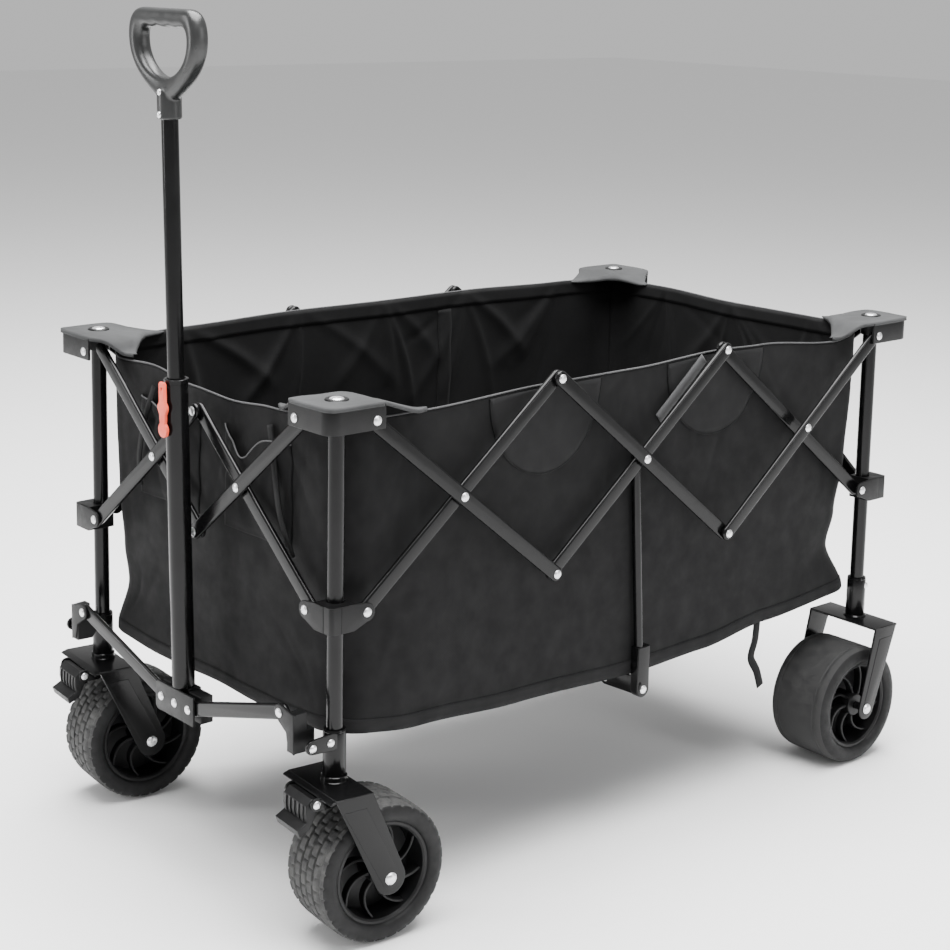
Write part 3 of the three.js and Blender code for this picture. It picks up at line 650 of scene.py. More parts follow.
def block_tread(x, angle):
    """Five round grooves, and cross cuts that step half a block between neighbouring ribs."""
    pitch = 12.5
    rib = round(x / pitch)
    rings = groove(abs(abs(x - rib * pitch) - pitch / 2), 1.7, 2.6) if abs(x) < 33 else 0
    blocks = 34
    phase = (angle * blocks / (2 * math.pi) + 0.5 * (rib % 2) + 0.06 * x / pitch) % 1
    across = min(phase, 1 - phase) * 2 * math.pi * WHEEL_RADIUS / blocks
    return max(rings, groove(across, 1.5, 2.0))


def smooth_tread(x, angle):
    return groove(abs(abs(x) - 31), 1.2, 0.9)


def rim_shape(node, width, place):
    half = width / 2 - 5
    barrel = lathe(node, [
        (5.4, -half + 2), (14, -half + 2), (15, -half + 3), (15, -6), (52.5, -5), (54, -half + 2),
        (56, -half), (RIM_RADIUS, -half), (RIM_RADIUS, half), (56, half),
        (54, half - 2), (52.5, 5), (15, 6), (15, half - 3), (14, half - 2), (5.4, half - 2), (5.4, -half + 2),
    ], place, 72)
    section = [(-1.6, -5), (1.6, -5), (1.6, 4), (0.8, 5), (-0.8, 5), (-1.6, 4)]
    parts = [barrel]
    for side in (-1, 1):
        for k in range(SPOKES):
            start = 2 * math.pi * k / SPOKES
            path = []
            for t in np.linspace(0, 1, 9):
                r, a = 13 + 41 * t, start + side * 0.62 * t ** 1.5
                w = side * (half - 11 - 3 * math.sin(math.pi * t))
                path.append((r * math.cos(a), r * math.sin(a), w))
            parts.append(sweep(node, path, section, place))
    return parts


def axle_frame(place, axle_y):
    return place @ Matrix.Translation((0, axle_y, WHEEL_RADIUS)) @ Matrix.Rotation(math.pi / 2, 4, "Y")


def wheel(name, width, place, axle_y, tread, rubber):
    body, hub = f"{name}_wheel", axle_frame(place, axle_y)
    tyre = tyre_mesh(f"{name}_tyre_shape", width, hub, tread, rubber)
    finished(tyre, body, "tyre", replaces=[f"{name}_tyre"])
    stand_in(f"{name}_rim", body, "rim", RIM, rim_shape(f"{name}_rim", width, hub))


def leg_outline(front, rear, top, axle_y, radius):
    def tangent(y, side):
        reach = math.hypot(y - axle_y, top - WHEEL_RADIUS)
        return math.atan2(top - WHEEL_RADIUS, y - axle_y) + side * math.acos(radius / reach)

    start, end = tangent(front, 1), tangent(rear, -1) + 2 * math.pi
    foot = circle((axle_y, WHEEL_RADIUS), radius, 20, start, end - start, last=True)
    return [(rear, top), (front, top), *foot]


def fork_parts(node, place, inside, front, rear, top, axle_y, leg_end):
    outside = inside + FORK_METAL
    side_place = place @ SIDEWAYS
    crown = [(-outside, front), (outside, front), (outside, rear), (-outside, rear)]
    leg = leg_outline(front, rear, top - 1, axle_y, leg_end)
    rib = leg_outline(front + 9, rear - 9, top - 16, axle_y, leg_end - 8)
    stem = [
        (0, top - 1), (15.5, top - 1), (15.5, top + 1.2), (14.6, top + 2), (14.6, 195), (13.8, 195.7),
        (6, 195.7), (6, 235), (0, 235),
    ]
    parts = [
        plate(node, crown, top - 3, top, place, 0.9),
        plate(node, leg, inside, outside, side_place, 0.9),
        plate(node, leg, -outside, -inside, side_place, 0.9),
        lathe(node, stem, place),
        rounded_rod(node, 5, -outside - 0.5, outside + 0.5, axle_frame(place, axle_y)),
    ]
    for sign in (-1, 1):
        low, high = sorted((sign * (outside - 0.6), sign * (outside + 0.5)))
        parts.append(plate(node, rib, low, high, side_place, 0.5))
    return parts


def head_pair(name, kind, body, place, face, at, radius, height):
    """Rivet heads that face outward on both sides of a fork, at (y, z)."""
    heads = []
    for sign in (-1, 1):
        facing = basis(sign * Y, Z, sign * X, (0, *at))
        heads.append(rivet_head(f"{name}_{kind}", (0, 0), face, place @ facing, radius, height))
    finished(joined(f"{name}_{kind}s", heads), body, "rivet", ZINC)


def axle_heads(name, body, place, inside, axle_y):
    face = inside + FORK_METAL + 0.4
    head_pair(name, "axle_head", body, place, face, (axle_y, WHEEL_RADIUS), 7.2, 3.6)


def caster(name, place):
    body, node, brake = f"{name}_caster", f"{name}_fork", f"{name}_brake_pedal"
    side_place = place @ SIDEWAYS
    parts = fork_parts(node, place, FRONT_FORK_INSIDE, -28.5, 19, FRONT_FORK_TOP, CASTER_TRAIL, 19.5)
    lip = [(-28.2, 187.6), (-34, 186), (-35.5, 184.6), (-35, 183.4), (-33.4, 183.8), (-28.2, 185.2)]
    parts.append(plate(node, lip, -52, 52, side_place, 0.3))
    cheek = round_ended((-22, BRAKE_PIVOT[1]), 7.5, BRAKE_PIVOT, 7.5)
    for x in (26, -29):
        parts.append(plate(node, cheek, x, x + 3, side_place, 0.6))
    stand_in(node, body, "frame_paint", PAINT, parts)
    axle_heads(name, body, place, FRONT_FORK_INSIDE, CASTER_TRAIL)
    head_pair(name, "brake_pin", body, place, 29, BRAKE_PIVOT, 4.6, 2)

    arm = [
        (-34.4, 172), (-33.6, 178), (-36, 183), (-43, 184), (-50, 177), (-50.4, 166), (-49, 158),
        (-60.6, 151.4), (-58, 143.6), (-45, 149.5), (-40, 160),
    ]
    ridge = [(-51.2, 176), (-51.8, 166), (-50.6, 158.6), (-48, 160), (-48, 175)]
    pieces = [plate(brake, arm, -25, 25, side_place, 1.2)]
    for x in np.linspace(-18, 18, 5):
        pieces.append(plate(brake, ridge, x - 1.5, x + 1.5, side_place, 0.5))
    stand_in(brake, f"{name}_brake", "moulding", MOULDING, pieces)
    wheel(name, FRONT_TYRE_WIDTH, place, CASTER_TRAIL, block_tread, TREAD)


def rear_wheel(name, place):
    node, body = f"{name}_fork", f"corner_{name}"
    parts = fork_parts(node, place, REAR_FORK_INSIDE, -26, 19, REAR_FORK_TOP, -REAR_LEAD, 15)
    stand_in(node, body, "frame_paint", PAINT, parts)
    axle_heads(name, body, place, REAR_FORK_INSIDE, -REAR_LEAD)
    wheel(name, REAR_TYRE_WIDTH, place, -REAR_LEAD, smooth_tread, SMOOTH_TREAD)


# ---- middle posts and cross links --------------------------------------------------------------


def mid_post(node, place, sense):
    low, lean = side_low(-1), sense * MID_LEAN
    face = low + BAR_THICKNESS
    height = CROSS_Z - MID_FOOT_Z
    tilt = math.atan2(lean, height)
    stem_place = place @ Matrix.Translation((lean, MID_FOOT_Z, low + 0.6)) @ Matrix.Rotation(tilt, 4, "Z")
    stem_place = stem_place @ Matrix.Rotation(-math.pi / 2, 4, "X")
    foot = [(lean + 10.5, MID_FOOT_Z), (lean + 10.5, MID_FOOT_Z + 56), (lean - 10.5, MID_FOOT_Z + 56)]
    foot += circle((lean, MID_FOOT_Z), 10.5, 12, math.pi, math.pi)
    inward = place @ Matrix.Rotation(-math.pi / 2, 4, "Y")
    hanger = round_ended((2, MID_FOOT_Z + 5), 12, (CROSS_PIVOT_X - POST_X, MID_FOOT_Z), 9)
    hanger_low = -16 if sense > 0 else 12
    parts = [
        rounded_rod(node, 5.7, 30, math.hypot(height, lean), stem_place),
        plate(node, circle((0, CROSS_Z), 9, 28), low, face, place, 1.5),
        plate(node, foot, -1, face + 1, place, 1.6),
        plate(node, hanger, hanger_low, hanger_low + 4, inward, 0.9),
    ]
    stand_in(node, node, "frame_paint", PAINT, parts)
    rivets(node, node, [((0, CROSS_Z), side_low(1) + BAR_THICKNESS), ((lean, MID_FOOT_Z), face + 1)], place)


def cross_link(node, side, layer):
    high = -(16.6 + layer * 4.6)
    pivot = (side * CROSS_PIVOT_X, MID_FOOT_Z)
    place = MIDDLE @ ENDWAYS
    link = plate(node, round_ended(pivot, 8, (0, MID_FOOT_Z + CROSS_RISE), 8), high - 4, high, place, 1.2)
    stand_in(node, node, "frame_paint", PAINT, [link])
    rivets(node, node, [(pivot, -12)], place, 4.8)


# ---- handle ------------------------------------------------------------------------------------


def ear_block(name, side):
    node, body = f"{name}_ear_block", f"{name}_ear"
    pivot_x, inner, outer = POST_X - EAR_PIVOT_INSET, POST_X - EAR_PIVOT_INSET + 13, POST_X - 8.5
    back = LINK_PLATE_FACE - 19
    front = [(outer, 226), (outer, 271), *circle((pivot_x, EAR_PIVOT_Z), 9.5, 10, 1.2, 2.6, last=True)]
    front += [(inner, 248), (inner + 4, 229)]
    section = [
        (LINK_PLATE_FACE - 1.5, 226.5), (LINK_PLATE_FACE - 1.5, 271), (back, 272), (back, 251),
        (back - 10, 251), (back - 10, 236), (back - 3, 226),
    ]
    across = FRONT_END @ Matrix.Rotation(-math.pi / 2, 4, "Y")
    low = -outer if side > 0 else inner
    parts = [
        plate(node, [(side * x, z) for x, z in front], LINK_PLATE_FACE - 3, LINK_PLATE_FACE, FRONT_END, 0.8),
        plate(node, section, low, low + outer - inner, across, 0.9),
    ]
    stand_in(node, body, "moulding", MOULDING, parts)


def front_link(name, side):
    node = f"{name}_front_link"
    ear, foot = (side * (POST_X - EAR_PIVOT_INSET), EAR_PIVOT_Z), (side * HANDLE_PIVOT_X, HANDLE_PIVOT_Z)
    high = LINK_PLATE_FACE - 3.6
    link = plate(node, round_ended(ear, 9, foot, 9), high - BAR_THICKNESS, high, FRONT_END, 2.9, rounds=4)
    stand_in(node, node, "frame_paint", PAINT, [link])
    rivets(node, node, [(ear, LINK_PLATE_FACE)], FRONT_END)


def handle_bracket():
    node, body = "handle_bracket", "handle_lower"
    low, high, face = HANDLE_PIVOT_Z - 18, HANDLE_PIVOT_Z + 18, LINK_PLATE_FACE
    block_front = face - 3.6 - BAR_THICKNESS - 0.6
    back = HANDLE_REACH - 14.5
    half, seat = 41, HANDLE_FOOT_Z - 0.3
    front = [(-half, low + 4), (-half + 4, low), (half, low), (half, high)]
    front += [(-half + 4, high), (-half, high - 4)]
    parts = [
        plate(node, front, face - 3, face, FRONT_END, 0.8),
        block(node, (-half, low + 1, back), (half, high - 2, block_front), FRONT_END, 1.5),
        block(node, (-16, low + 1, back), (16, seat, block_front), FRONT_END, 1.5),
        block(node, (-7, high - 2.5, block_front - 1), (7, seat, face - 2), FRONT_END, 0.5),
    ]
    stand_in(node, body, "moulding", MOULDING, parts)
    heads = [((x, HANDLE_PIVOT_Z), face - 0.3) for x in (-HANDLE_PIVOT_X, 0, HANDLE_PIVOT_X)]
    rivets(node, body, heads, FRONT_END)


def bezier(p0, p1, p2, p3, steps):
    """Points along a cubic curve, without its last one."""
    made = []
    for k in range(steps):
        t = k / steps
        weights = ((1 - t) ** 3, 3 * t * (1 - t) ** 2, 3 * t * t * (1 - t), t ** 3)
        made.append(sum((Vector(p) * w for p, w in zip((p0, p1, p2, p3), weights)), Vector((0, 0))))
    return made


def straight(p, q, steps):
    """Points on a line, without its last one."""
    return [Vector(p).lerp(Vector(q), k / steps) for k in range(steps)]


def grip(place):
    """A closed loop lofted between an outer and an inner outline, melted into a round neck."""
    outer = bezier((14, 23), (40, 39), (71, 58), (71, 93), 16)
    outer += bezier((71, 93), (71, 113), (61, 123.5), (46, 123.5), 10)
    outer += straight((46, 123.5), (-46, 123.5), 22)
    outer += bezier((-46, 123.5), (-61, 123.5), (-71, 113), (-71, 93), 10)
    outer += bezier((-71, 93), (-71, 58), (-40, 39), (-14, 23), 16)
    outer += straight((-14, 23), (14, 23), 4)
    inner = bezier((1, 47.5), (26, 48.5), (49, 66), (49, 88), 16)
    inner += bezier((49, 88), (49, 98), (44, 102.5), (36, 102.5), 10)
    inner += straight((36, 102.5), (-36, 102.5), 22)
    inner += bezier((-36, 102.5), (-44, 102.5), (-49, 98), (-49, 88), 10)
    inner += bezier((-49, 88), (-49, 66), (-26, 48.5), (-1, 47.5), 16)
    inner += straight((-1, 47.5), (1, 47.5), 4)
    points, across = [], 24
    for o, i in zip(outer, inner):
        ripple = 1.4 * math.cos(i.x / 12 * math.pi) if i.y > 101 and abs(i.x) < 30 else 0
        i = Vector((i.x, i.y - ripple * 0.6))
        middle, reach = (o + i) / 2, (o - i) / 2
        for k in range(across):
            t = 2 * math.pi * k / across
            c = math.copysign(abs(math.cos(t)) ** 0.85, math.cos(t))
            s = math.copysign(abs(math.sin(t)) ** 0.85, math.sin(t))
            flat = middle + reach * c
            points.append((flat.x, 11.4 * s, flat.y))
    base = place @ Matrix.Translation((0, 0, GRIP_FOOT))
    ring = clean(mesh_of("grip_ring", points, ring_faces(len(outer), across, closed=True), base))
    neck_profile = [(0, 0.2), (13, 0.2), (14, 1.2), (14, 28), (13, 33), (10, 37), (0, 38)]
    made = joined("handle_grip_shape", [ring, lathe("grip_neck", neck_profile, base, 48)])
    remesh = made.modifiers.new("melt", "REMESH")
    remesh.mode = "VOXEL"
    remesh.voxel_size = 0.0011
    smooth = made.modifiers.new("soften", "SMOOTH")
    smooth.factor = 0.5
    smooth.iterations = 9
    apply_modifiers(made)
    made.data.shade_smooth()
    finished(made, "handle_upper", "grip", GRIP, replaces=["handle_grip"])
    rivets("handle_grip", "handle_upper", [((0, 6), 13.6), ((0, 31), 12.6)], base @ ENDWAYS, 3.8)


def apply_modifiers(obj):
    graph = bpy.context.evaluated_depsgraph_get()
    mesh = bpy.data.meshes.new_from_object(obj.evaluated_get(graph))
    obj.modifiers.clear()
    obj.data = mesh


def handle():
    place = MIDDLE @ Matrix.Translation((0, -POST_Y - HANDLE_REACH, HANDLE_FOOT_Z))
    place = place @ Matrix.Rotation(HANDLE_LEAN, 4, "X")
    lower = lathe("handle_lower_tube", [
        (11, 0), (13.5, 0), (13.5, 366), (14.3, 366.4), (14.3, 371.4), (13.4, 372), (11, 372), (11, 0),
    ], place, 56)
    stand_in("handle_lower_tube", "handle_lower", "frame_paint", PAINT, [lower])
    upper = lathe("handle_upper_tube", [(8, 317), (9.8, 317), (9.8, 687), (8, 687), (8, 317)], place, 48)
    stand_in("handle_upper_tube", "handle_upper", "frame_paint", PAINT, [upper])
    grip(place)
    half = circle((0, 313.5), 9, 12, -math.pi / 2, 0.82 * math.pi, last=True)
    half += [(5.6, 326), (5.8, 331), (9.6, 338), (9.2, 342), (5.9, 346), (5.7, 367), (4.2, 369.4)]
    shape = half + [(-x, z) for x, z in reversed(half)]
    latch = plate("handle_latch", shape, 16.2, 20.6, place @ ENDWAYS, 1.0, holes=[circle((0, 362), 1.7, 14)])
    stand_in("handle_latch", "handle_latch", "latch", LATCH, [latch])


# ---- fabric ------------------------------------------------------------------------------------
WALL_INSET_SIDE, WALL_INSET_END = 2, 6
CORNER_ROUND = 40
CLOTH = 1.1
FRONT_Y = MID_Y - POST_Y
# keep: what is left of the tub's length and width when the frame is folded.
FOLDS_LENGTH = {"axis": (0, 1, 0), "anchor": (0, FRONT_Y * MM, 0), "keep": 0.444}
FOLDS_WIDTH = {"axis": (1, 0, 0), "anchor": (-POST_X * MM, 0, 0), "keep": 0.471}


def grid_over(first, second):
    """Two arrays over a grid, each side given as (start, end, count)."""
    return np.meshgrid(np.linspace(*first), np.linspace(*second), indexing="ij")


def smooth_between(x, knots):
    """Height at x on a smooth curve through (x, height) knots."""
    xs, ys = np.array(knots, float).T
    position = np.clip(np.interp(x, xs, np.arange(len(xs))), 0, len(xs) - 1.0001)
    index = position.astype(int)
    t = position - index
    t = t * t * (3 - 2 * t)
    return ys[index] * (1 - t) + ys[index + 1] * t


def creases(u, v, lines):
    """Height of soft ridges; each line is (u0, v0, u1, v1, width, height)."""
    total = np.zeros_like(u)
    for u0, v0, u1, v1, width, height in lines:
        du, dv = u1 - u0, v1 - v0
        length = math.hypot(du, dv)
        along = ((u - u0) * du + (v - v0) * dv) / length ** 2
        across = ((u - u0) * dv - (v - v0) * du) / length
        bow = across - 0.05 * length * np.sin(np.pi * np.clip(along, 0, 1))
        fade = np.sin(np.pi * np.clip(along, 0, 1)) ** 0.7
        spread = width * (0.45 + 0.9 * np.clip(along, 0, 1))
        total += height * fade * np.exp(-np.abs(bow / spread) ** 1.6)
    return total


def fan(random, anchors, count, reach, width, height, downward=True):
    """Creases that run out from where the cloth is held."""
    lines = []
    for u0, v0 in anchors:
        for _ in range(count):
            angle = random.uniform(-1.05, 1.05)
            length = random.uniform(0.45, 1.0) * reach
            step = -1 if downward else 1
            end = (u0 + length * math.sin(angle), v0 + step * length * math.cos(angle))
            sign = 1 if random.random() < 0.75 else -0.6
            wide = random.uniform(0.6, 1.3) * width
            lines.append((u0, v0, *end, wide, sign * random.uniform(0.5, 1.1) * height))
    return lines


def swell(u, v, random, size, height):
    """Slow unevenness of hanging cloth, from a few crossed waves."""
    total = np.zeros_like(u)
    for _ in range(5):
        angle, phase = random.uniform(0, math.pi), random.uniform(0, 2 * math.pi)
        wave = 2 * math.pi / (size * random.uniform(0.7, 1.5))
        total += np.sin((u * math.cos(angle) + v * math.sin(angle)) * wave + phase)
    return total * height / 5


def cloth(name, grid, place, thickness=CLOTH):
    """A thin closed sheet on a grid of points."""
    rows, columns = grid.shape[:2]
    faces = [
        (r * columns + c, r * columns + c + 1, (r + 1) * columns + c + 1, (r + 1) * columns + c)
        for r in range(rows - 1) for c in range(columns - 1)
    ]
    made = mesh_of(name, grid.reshape(-1, 3), faces, place)
    shell = made.modifiers.new("thickness", "SOLIDIFY")
    shell.thickness = thickness * MM
    shell.offset = 0
    shell.use_even_offset = True
    apply_modifiers(made)
    made.data.shade_smooth()
    return made


class Wall:
    """One wall of the tub in the frame of its side: u along, v up, w outward from the post axes."""

    def __init__(self, name, place, half, inset, rim, hem, body, fold, seed, wrinkle, pull, tuck=0):
        self.name, self.place, self.body, self.fold = name, place, body, fold
        self.straight, self.inset = half - CORNER_ROUND, inset
        self.reach = self.straight + CORNER_ROUND * math.pi / 4
        self.rim, self.hem, self.pull, self.tuck = rim, hem, pull, tuck
        random = Random(seed)
        lows = [(side * (half - 30), 240) for side in (-1, 1)]
        self.lines = fan(random, rim[1:-1], 5, 250, 9, wrinkle)
        self.lines += fan(random, lows, 5, 190, 8, 0.8 * wrinkle, downward=False)
        self.swell_seed, self.wrinkle = seed + 1, wrinkle

    def points(self, u, t, outward=0.0):
        """Positions at arc length u and height share t from hem to rim."""
        low, high = smooth_between(u, self.hem), smooth_between(u, self.rim)
        v = low + (high - low) * t
        turn = np.clip((np.abs(u) - self.straight) / CORNER_ROUND, 0, math.pi / 4)
        side = np.sign(u)
        x = np.where(np.abs(u) > self.straight, side * (self.straight + CORNER_ROUND * np.sin(turn)), u)
        w = -self.inset - CORNER_ROUND * (1 - np.cos(turn))
        held = np.sin(np.pi * np.clip(t, 0, 1)) ** 0.35
        free = np.clip((self.reach - np.abs(u)) / 60, 0, 1)
        slack = swell(u, v, Random(self.swell_seed), 260, 1.6 + 0.3 * self.wrinkle)
        inward = np.maximum(creases(u, v, self.lines) + slack, -2.2) * held * free
        inward += self.tuck * np.exp(-((u / 62) ** 2) - ((v - 226) / 34) ** 2)
        near = np.exp(-(((self.reach - np.abs(u)) / 75) ** 2))
        drawn = np.where(u < 0, self.pull[0], self.pull[1]) * near * smooth_between(v, CORNER_DRAW)
        x = x - side * drawn + side * np.sin(turn) * (outward - inward)
        w = w - drawn + np.cos(turn) * (outward - inward)
        return np.stack([x, v, w], axis=-1)

    def part(self, name, u0, u1, t0, t1, columns, rows, outward, surface, rests=()):
        t, u = grid_over((t0, t1, rows), (u0, u1, columns))
        grid = self.points(u, t, outward)
        made = cloth(name, grid, self.place, CLOTH if not outward else 0.8)
        self.hang(made, surface)
        return made

    def hang(self, made, surface, replaces=()):
        finished(made, self.body, "fabric", surface, replaces=replaces)
        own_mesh(made)

    def build(self, rests):
        ends = (-self.reach, self.reach)
        panel = self.part(f"{self.name}_panel", *ends, 0, 1, 240, 84, 0.0, FABRIC, rests)
        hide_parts("fabric_tub")
        self.part(f"{self.name}_rim_tape", *ends, 0.945, 0.998, 200, 5, -1.2, TAPE, [panel.name])
        self.part(f"{self.name}_hem_tape", *ends, 0.004, 0.045, 200, 4, 1.1, TAPE, [panel.name])
        u = np.linspace(-self.reach + 2, self.reach - 2, 200)
        edge = self.points(u, np.ones_like(u))
        cord = sweep(f"{self.name}_rim_piping", edge, circle((0, 0.4), 1.1, 8), self.place)
        self.hang(cord, PIPING)

    def patch(self, number, u0):
        """A half-round patch sewn on under a joint of the frame."""
        half_width, depth = 88, 104
        name = f"{self.name}_patch_{number}"
        r, a = grid_over((0.02, 1, 14), (math.pi, 2 * math.pi, 40))
        u = u0 + half_width * r * np.cos(a)
        drop = depth * r * np.sin(a)
        low, high = smooth_between(u, self.hem), smooth_between(u, self.rim)
        t = np.clip(0.99 + drop / (high - low), 0, 0.99)
        grid = self.points(u, t, 1.3)
        made = cloth(name, grid, self.place, 0.9)
        self.hang(made, PATCH)
        border = self.points(u[-1], t[-1], 1.9)
        self.hang(sweep(f"{name}_seam", border, circle((0, 0), 0.7, 6), self.place), TAPE)


CORNER_DRAW = [(200, 0), (236, 0), (298, 1), (345, 0.65), (420, 0.25), (520, 0.05), (560, 0), (700, 0)]
SIDE_HEM = [(-445, 234), (-330, 221), (-180, 213), (20, 206), (140, 210), (260, 223), (445, 235)]
END_HEM = [(-245, 232), (-120, 226), (0, 225), (120, 228), (245, 234)]


def tub_walls():
    half_y, half_x = POST_Y - WALL_INSET_END, POST_X - WALL_INSET_SIDE
    right_rim = [
        (-445, 600), (-400, 590), (-328, 590), (-145, 597), (0, 598),
        (145, 604), (228, 602), (379, 590), (445, 600),
    ]
    left_rim = [(-445, 604), (-330, 608), (-145, 612), (0, 611), (145, 612), (330, 608), (445, 604)]
    front_rim = [
        (-245, 600), (-205, 588), (-130, 592), (-40, 582), (40, 579), (124, 585), (200, 590), (245, 600),
    ]
    rear_rim = [(-245, 604), (-150, 602), (0, 601), (130, 605), (245, 604)]
    right = Wall("right_side", RIGHT_SIDE, half_y, WALL_INSET_SIDE, right_rim, SIDE_HEM,
                 "corner_front_right", FOLDS_LENGTH, seed=11, wrinkle=1.6, pull=(9, 17))
    left = Wall("left_side", LEFT_SIDE, half_y, WALL_INSET_SIDE, left_rim, SIDE_HEM,
                "corner_front_left", FOLDS_LENGTH, seed=27, wrinkle=6.5, pull=(12, 10))
    front = Wall("front_end", FRONT_END, half_x, WALL_INSET_END, front_rim, END_HEM,
                 "corner_front_left", FOLDS_WIDTH, seed=35, wrinkle=2.4, pull=(10, 9), tuck=8)
    rear = Wall("rear_end", REAR_END, half_x, WALL_INSET_END, rear_rim, END_HEM,
                "corner_rear_left", FOLDS_WIDTH, seed=41, wrinkle=5.0, pull=(17, 12))
    right.build(["right_side_front_top_bar", "right_side_rear_top_bar"])
    left.build(["left_side_front_top_bar", "left_side_rear_top_bar"])
    front.build(["front_end_left_top_bar", "front_end_right_top_bar"])
    rear.build(["rear_end_left_top_bar", "rear_end_right_top_bar"])
    joint = SIDE_ARM * math.cos(REST)
    for wall in (right, left):
        wall.patch(1, -joint)
        wall.patch(2, joint)
        u = 110 if wall is right else -110
        rests = [f"{wall.name}_panel"]
        wall.part(f"{wall.name}_inner_tape", u - 12, u + 12, 0.03, 0.94, 5, 70, -1.2, TAPE, rests)
    return front, right


def tub_floor():
    """Two halves that overlap along the middle.

    Each is wider than the folded tub, so folded they cut each other and the wall opposite.
    """
    half_y, half_x = POST_Y - WALL_INSET_END - 0.4, POST_X - WALL_INSET_SIDE - 0.4
    for name, side, height in (("left", -1, 214.6), ("right", 1, 216.4)):
        y, x = grid_over((-half_y, half_y, 150), (-4, half_x, 50))
        corner = np.clip((np.abs(y) - half_y + CORNER_ROUND) / CORNER_ROUND, 0, 1)
        x = x * (half_x - CORNER_ROUND * (1 - np.sqrt(1 - 0.93 * corner ** 2))) / half_x
        side_lift = (smooth_between(side * y, SIDE_HEM) + 3 - height) * (x / half_x) ** 3
        end_lift = (smooth_between(-np.sign(y) * side * x, END_HEM) + 3 - height) * (np.abs(y) / half_y) ** 6
        sag = 0.5 * swell(x, y, Random(5), 300, 1.5)
        tucked = y + np.where(y < 0, 7 * np.exp(-((x / 62) ** 2)) * (np.abs(y) / half_y) ** 8, 0)
        lift = np.maximum(0, np.maximum(side_lift, end_lift))
        grid = np.stack([side * x, tucked, height + sag + lift], axis=-1)
        made = cloth(f"floor_{name}_panel", grid, MIDDLE, 1.4)
        finished(made, f"corner_front_{name}", "fabric", FABRIC)
        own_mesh(made)


# Lengths of the two tails of each cap, and the rim heights where they end.
CAP_TAILS = {
    "front_right": (124, 114, (593, 592)),
    "front_left": (92, 76, (606, 598)),
    "rear_left": (92, 78, (606, 604)),
    "rear_right": (80, 76, (596, 606)),
}


def corner_cap(name, place, flip, side_tail, end_tail, rims):
    """Fabric hat over a top bracket, drawn out in two tails along the rims."""
    count, steps = 61, 15
    side_z, end_z = rims
    a, b = side_tail, end_tail
    outer_path = [
        (0.5, -a, side_z), (8, -0.82 * a, side_z + 2), (24, -50, 613), (37.0, -34, 617.0), (37.2, 18, 617.4),
        (33.6, 33.6, 617.6), (18, 37.2, 617.4), (-34, 37.0, 617.0), (-50, 20, 613), (-0.82 * b, 4, end_z + 2),
        (-b, -4.5, end_z),
    ]
    inner_path = [
        (-2.5, -a - 2, side_z), (-7, -0.85 * a, side_z + 2), (-17, -54, 611), (-27, -44, 614.5),
        (-36, -36, 615.5), (-44, -28, 614.5), (-54, -20, 611), (-0.85 * b, -11, end_z + 2),
        (-b - 2, -8, end_z),
    ]
    share = np.linspace(0, 1, count)

    def along(path):
        keys, values = np.linspace(0, 1, len(path)), np.array(path, float)
        return np.stack([smooth_path(share, keys, values[:, axis]) for axis in range(3)], axis=-1)

    outer, inner = along(outer_path), along(inner_path)
    hump = np.sin(math.pi * share)
    grid = np.zeros((steps, count, 3))
    for row, s in enumerate(np.linspace(0, 1, steps)):
        grid[row] = outer * (1 - s) + inner * s
        ripple = np.sin(9 * np.linspace(0, 3, count) + 6 * s) * s * (1 - s)
        grid[row, :, 2] += 1.2 * math.sin(math.pi * s) * hump ** 2 + 3.0 * ripple * s
    drop = grid[0].copy()
    drop[:, 2] -= 4.0
    hems, hem = [], grid[-1].copy()
    for turn in (0.5, 1.1, 1.7):
        roll = np.array((-5 * math.sin(turn), -5 * math.sin(turn), -7 * (1 - math.cos(turn))))
        hems.append(hem + (hump ** 0.7)[:, None] * roll)
    grid = np.concatenate([drop[None], grid, np.array(hems)])
    grid[:, :, 0] *= flip
    grid[:, :, 1] *= -1
    made = cloth(f"{name}_cap", grid, place, 0.9)
    # The cap wears the lighter fabric, whose lightness is a painted sheen.
    finished(made, f"corner_{name}", "fabric", CAP_FABRIC_PAINTED_SHEEN)
    button = rivet_head(f"{name}_cap_button", (0, 0), 618.6, place, 8.5, 2.6)
    finished(button, f"corner_{name}", "rivet", ZINC)
    ring = [(8, 617.6), (13, 617.6), (13.4, 618.4), (12.4, 619.4), (9, 619.6), (8, 619.2), (8, 617.6)]
    collar = lathe(f"{name}_cap_ring", ring, place, 40)
    finished(collar, f"corner_{name}", "moulding", MOULDING)


def smooth_path(t, keys, values):
    """Cubic through the values with slopes from their neighbours."""
    slopes = np.gradient(values, keys)
    index = np.clip(np.searchsorted(keys, t, side="right") - 1, 0, len(keys) - 2)
    step = keys[index + 1] - keys[index]
    s = (t - keys[index]) / step
    a, b = values[index], values[index + 1]
    return ((2 * s ** 3 - 3 * s ** 2 + 1) * a + (s ** 3 - 2 * s ** 2 + s) * step * slopes[index]
            + (3 * s ** 2 - 2 * s ** 3) * b + (s ** 3 - s ** 2) * step * slopes[index + 1])


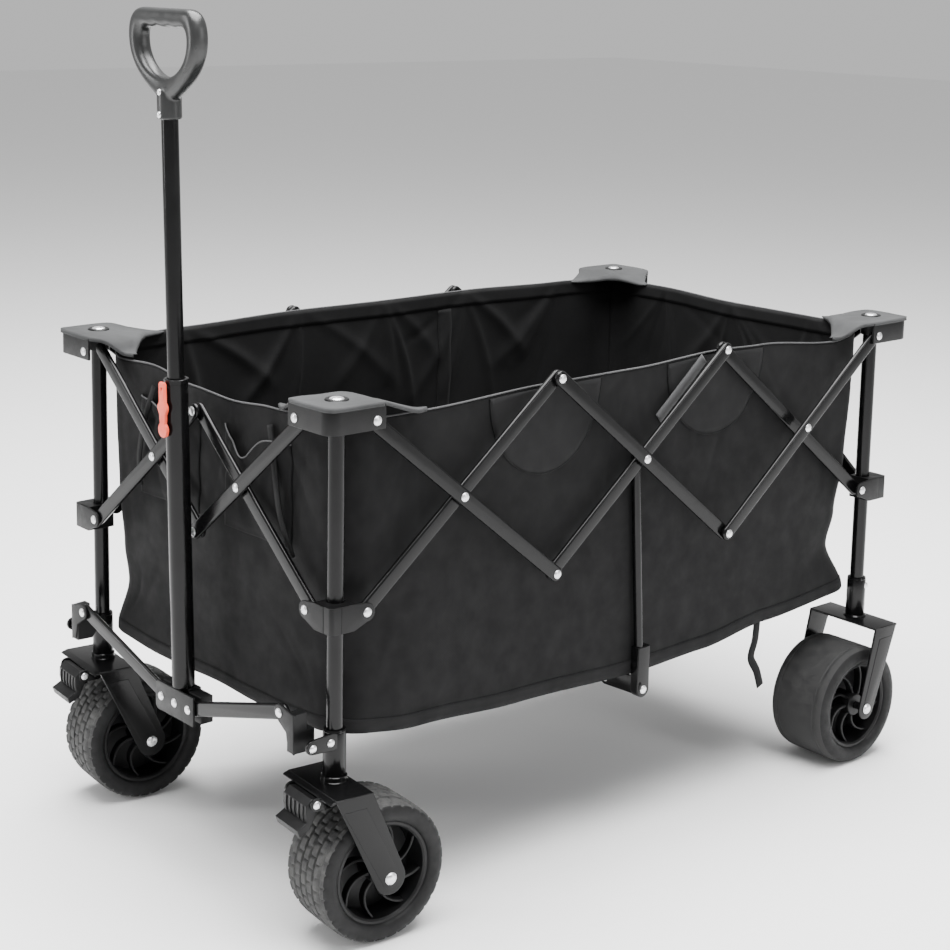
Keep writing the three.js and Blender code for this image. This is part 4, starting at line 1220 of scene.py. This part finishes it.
def front_pocket(wall, name, u0, u1, droop_at):
    """A slack pocket on the front wall, its mouth drooping between its corners."""
    low, mouth_end, droop = 428, 549, 34
    t, a = grid_over((0, 1, 46), (0, 1, 64))
    u = u0 + (u1 - u0) * a
    dip = np.exp(-(((a - droop_at) / 0.24) ** 2)) * np.sin(math.pi * np.clip(a, 0, 1)) ** 0.5
    mouth = mouth_end - droop * dip
    v = low + (mouth - low) * t
    wall_low, wall_high = smooth_between(u, wall.hem), smooth_between(u, wall.rim)
    belly = 7.5 * np.sin(math.pi * a) ** 0.6 * (0.3 + 0.7 * t ** 0.8) * np.minimum(1, t / 0.1)
    lines = fan(Random(3), [(u0 + 12, mouth_end), (u1 - 12, mouth_end), ((u0 + u1) / 2, low)], 6, 120, 5, 2.6)
    slack = creases(u, v, lines) * np.sin(math.pi * a) * np.minimum(1, t / 0.15)
    grid = wall.points(u, (v - wall_low) / (wall_high - wall_low), 1.2)
    grid[..., 2] += np.clip(belly + slack, 0, 11)
    made = cloth(name, grid, wall.place, 0.9)
    wall.hang(made, FABRIC)
    wall.hang(sweep(f"{name}_piping", grid[-1], circle((0, 0.3), 1.0, 8), wall.place), PIPING)


def webbing(name, points, width, wall, surface=TAPE):
    """A loose end of strap: a narrow ribbon along a path in the frame of a wall."""
    path = np.array(points, float)
    keys = np.linspace(0, 1, len(path))
    t = np.linspace(0, 1, 40)
    line = np.stack([smooth_path(t, keys, path[:, axis]) for axis in range(3)], axis=-1)
    ahead = np.gradient(line, axis=0)
    across = np.cross(ahead, (0, 0, 1.0))
    across /= np.linalg.norm(across, axis=1)[:, None]
    grid = np.stack([line - across * width / 2, line, line + across * width / 2])
    made = cloth(name, grid, wall.place, 1.3)
    wall.hang(made, surface)


# ---- build -------------------------------------------------------------------------------------
make_camera()
make_studio()
side_bars("right", "front", "rear", RIGHT_SIDE)
side_bars("left", "rear", "front", LEFT_SIDE)
end_bars("front", "left", "right", FRONT_END)
end_bars("rear", "right", "left", REAR_END)
for corner in CORNERS:
    body = f"corner_{corner}"
    corner_place, hand = corner_frame(corner)
    front = corner.startswith("front")
    top_bracket(corner, body, corner_place, hand)
    slider(corner, corner_place, hand, SLIDER_FACE if hand > 0 else END_SLIDER_FACE)
    post(corner, body, corner_place, hand, front)
    upright = Matrix.Translation(corner_place.translation)
    if front:
        caster(corner, upright @ Matrix.Rotation(CASTER_YAW, 4, "Z"))
    else:
        rear_wheel(corner, upright)
mid_post("right_mid_post", RIGHT_SIDE, 1)
mid_post("left_mid_post", LEFT_SIDE, -1)
cross_link("right_cross_link", 1, 0)
cross_link("left_cross_link", -1, 1)
for hand_name, hand_side in (("left", -1), ("right", 1)):
    ear_block(hand_name, hand_side)
    front_link(hand_name, hand_side)
handle_bracket()
handle()
front_wall, right_wall = tub_walls()
tub_floor()
for corner in CORNERS:
    corner_cap(corner, *corner_frame(corner), *CAP_TAILS[corner])
front_pocket(front_wall, "front_pocket_right", 28, 158, 0.3)
front_pocket(front_wall, "front_pocket_left", -158, -28, 0.7)
webbing("front_strap_right", [(122, 566, -2), (138, 520, 3), (152, 470, 5), (172, 424, 2)], 10, front_wall)
webbing("front_strap_left", [(-122, 566, -2), (-136, 525, 3), (-146, 480, 5), (-150, 440, 2)], 10, front_wall)
# A strap in the light piping colour along the right wall: a painted highlight standing for the lit upper face
# of the bar beside it.
lit_band_tab_path = [(121, 597, 0.2), (96, 576, 0.6), (70, 554, 0.8), (42, 530, 0.6)]
webbing("side_pull_tab_painted_highlight", lit_band_tab_path, 14, right_wall, PIPING)
loose_path = [(250, 226, -4), (245, 200, -2), (236, 178, 0), (246, 158, 2), (256, 134, 1)]
webbing("side_loose_strap", loose_path, 12, right_wall)
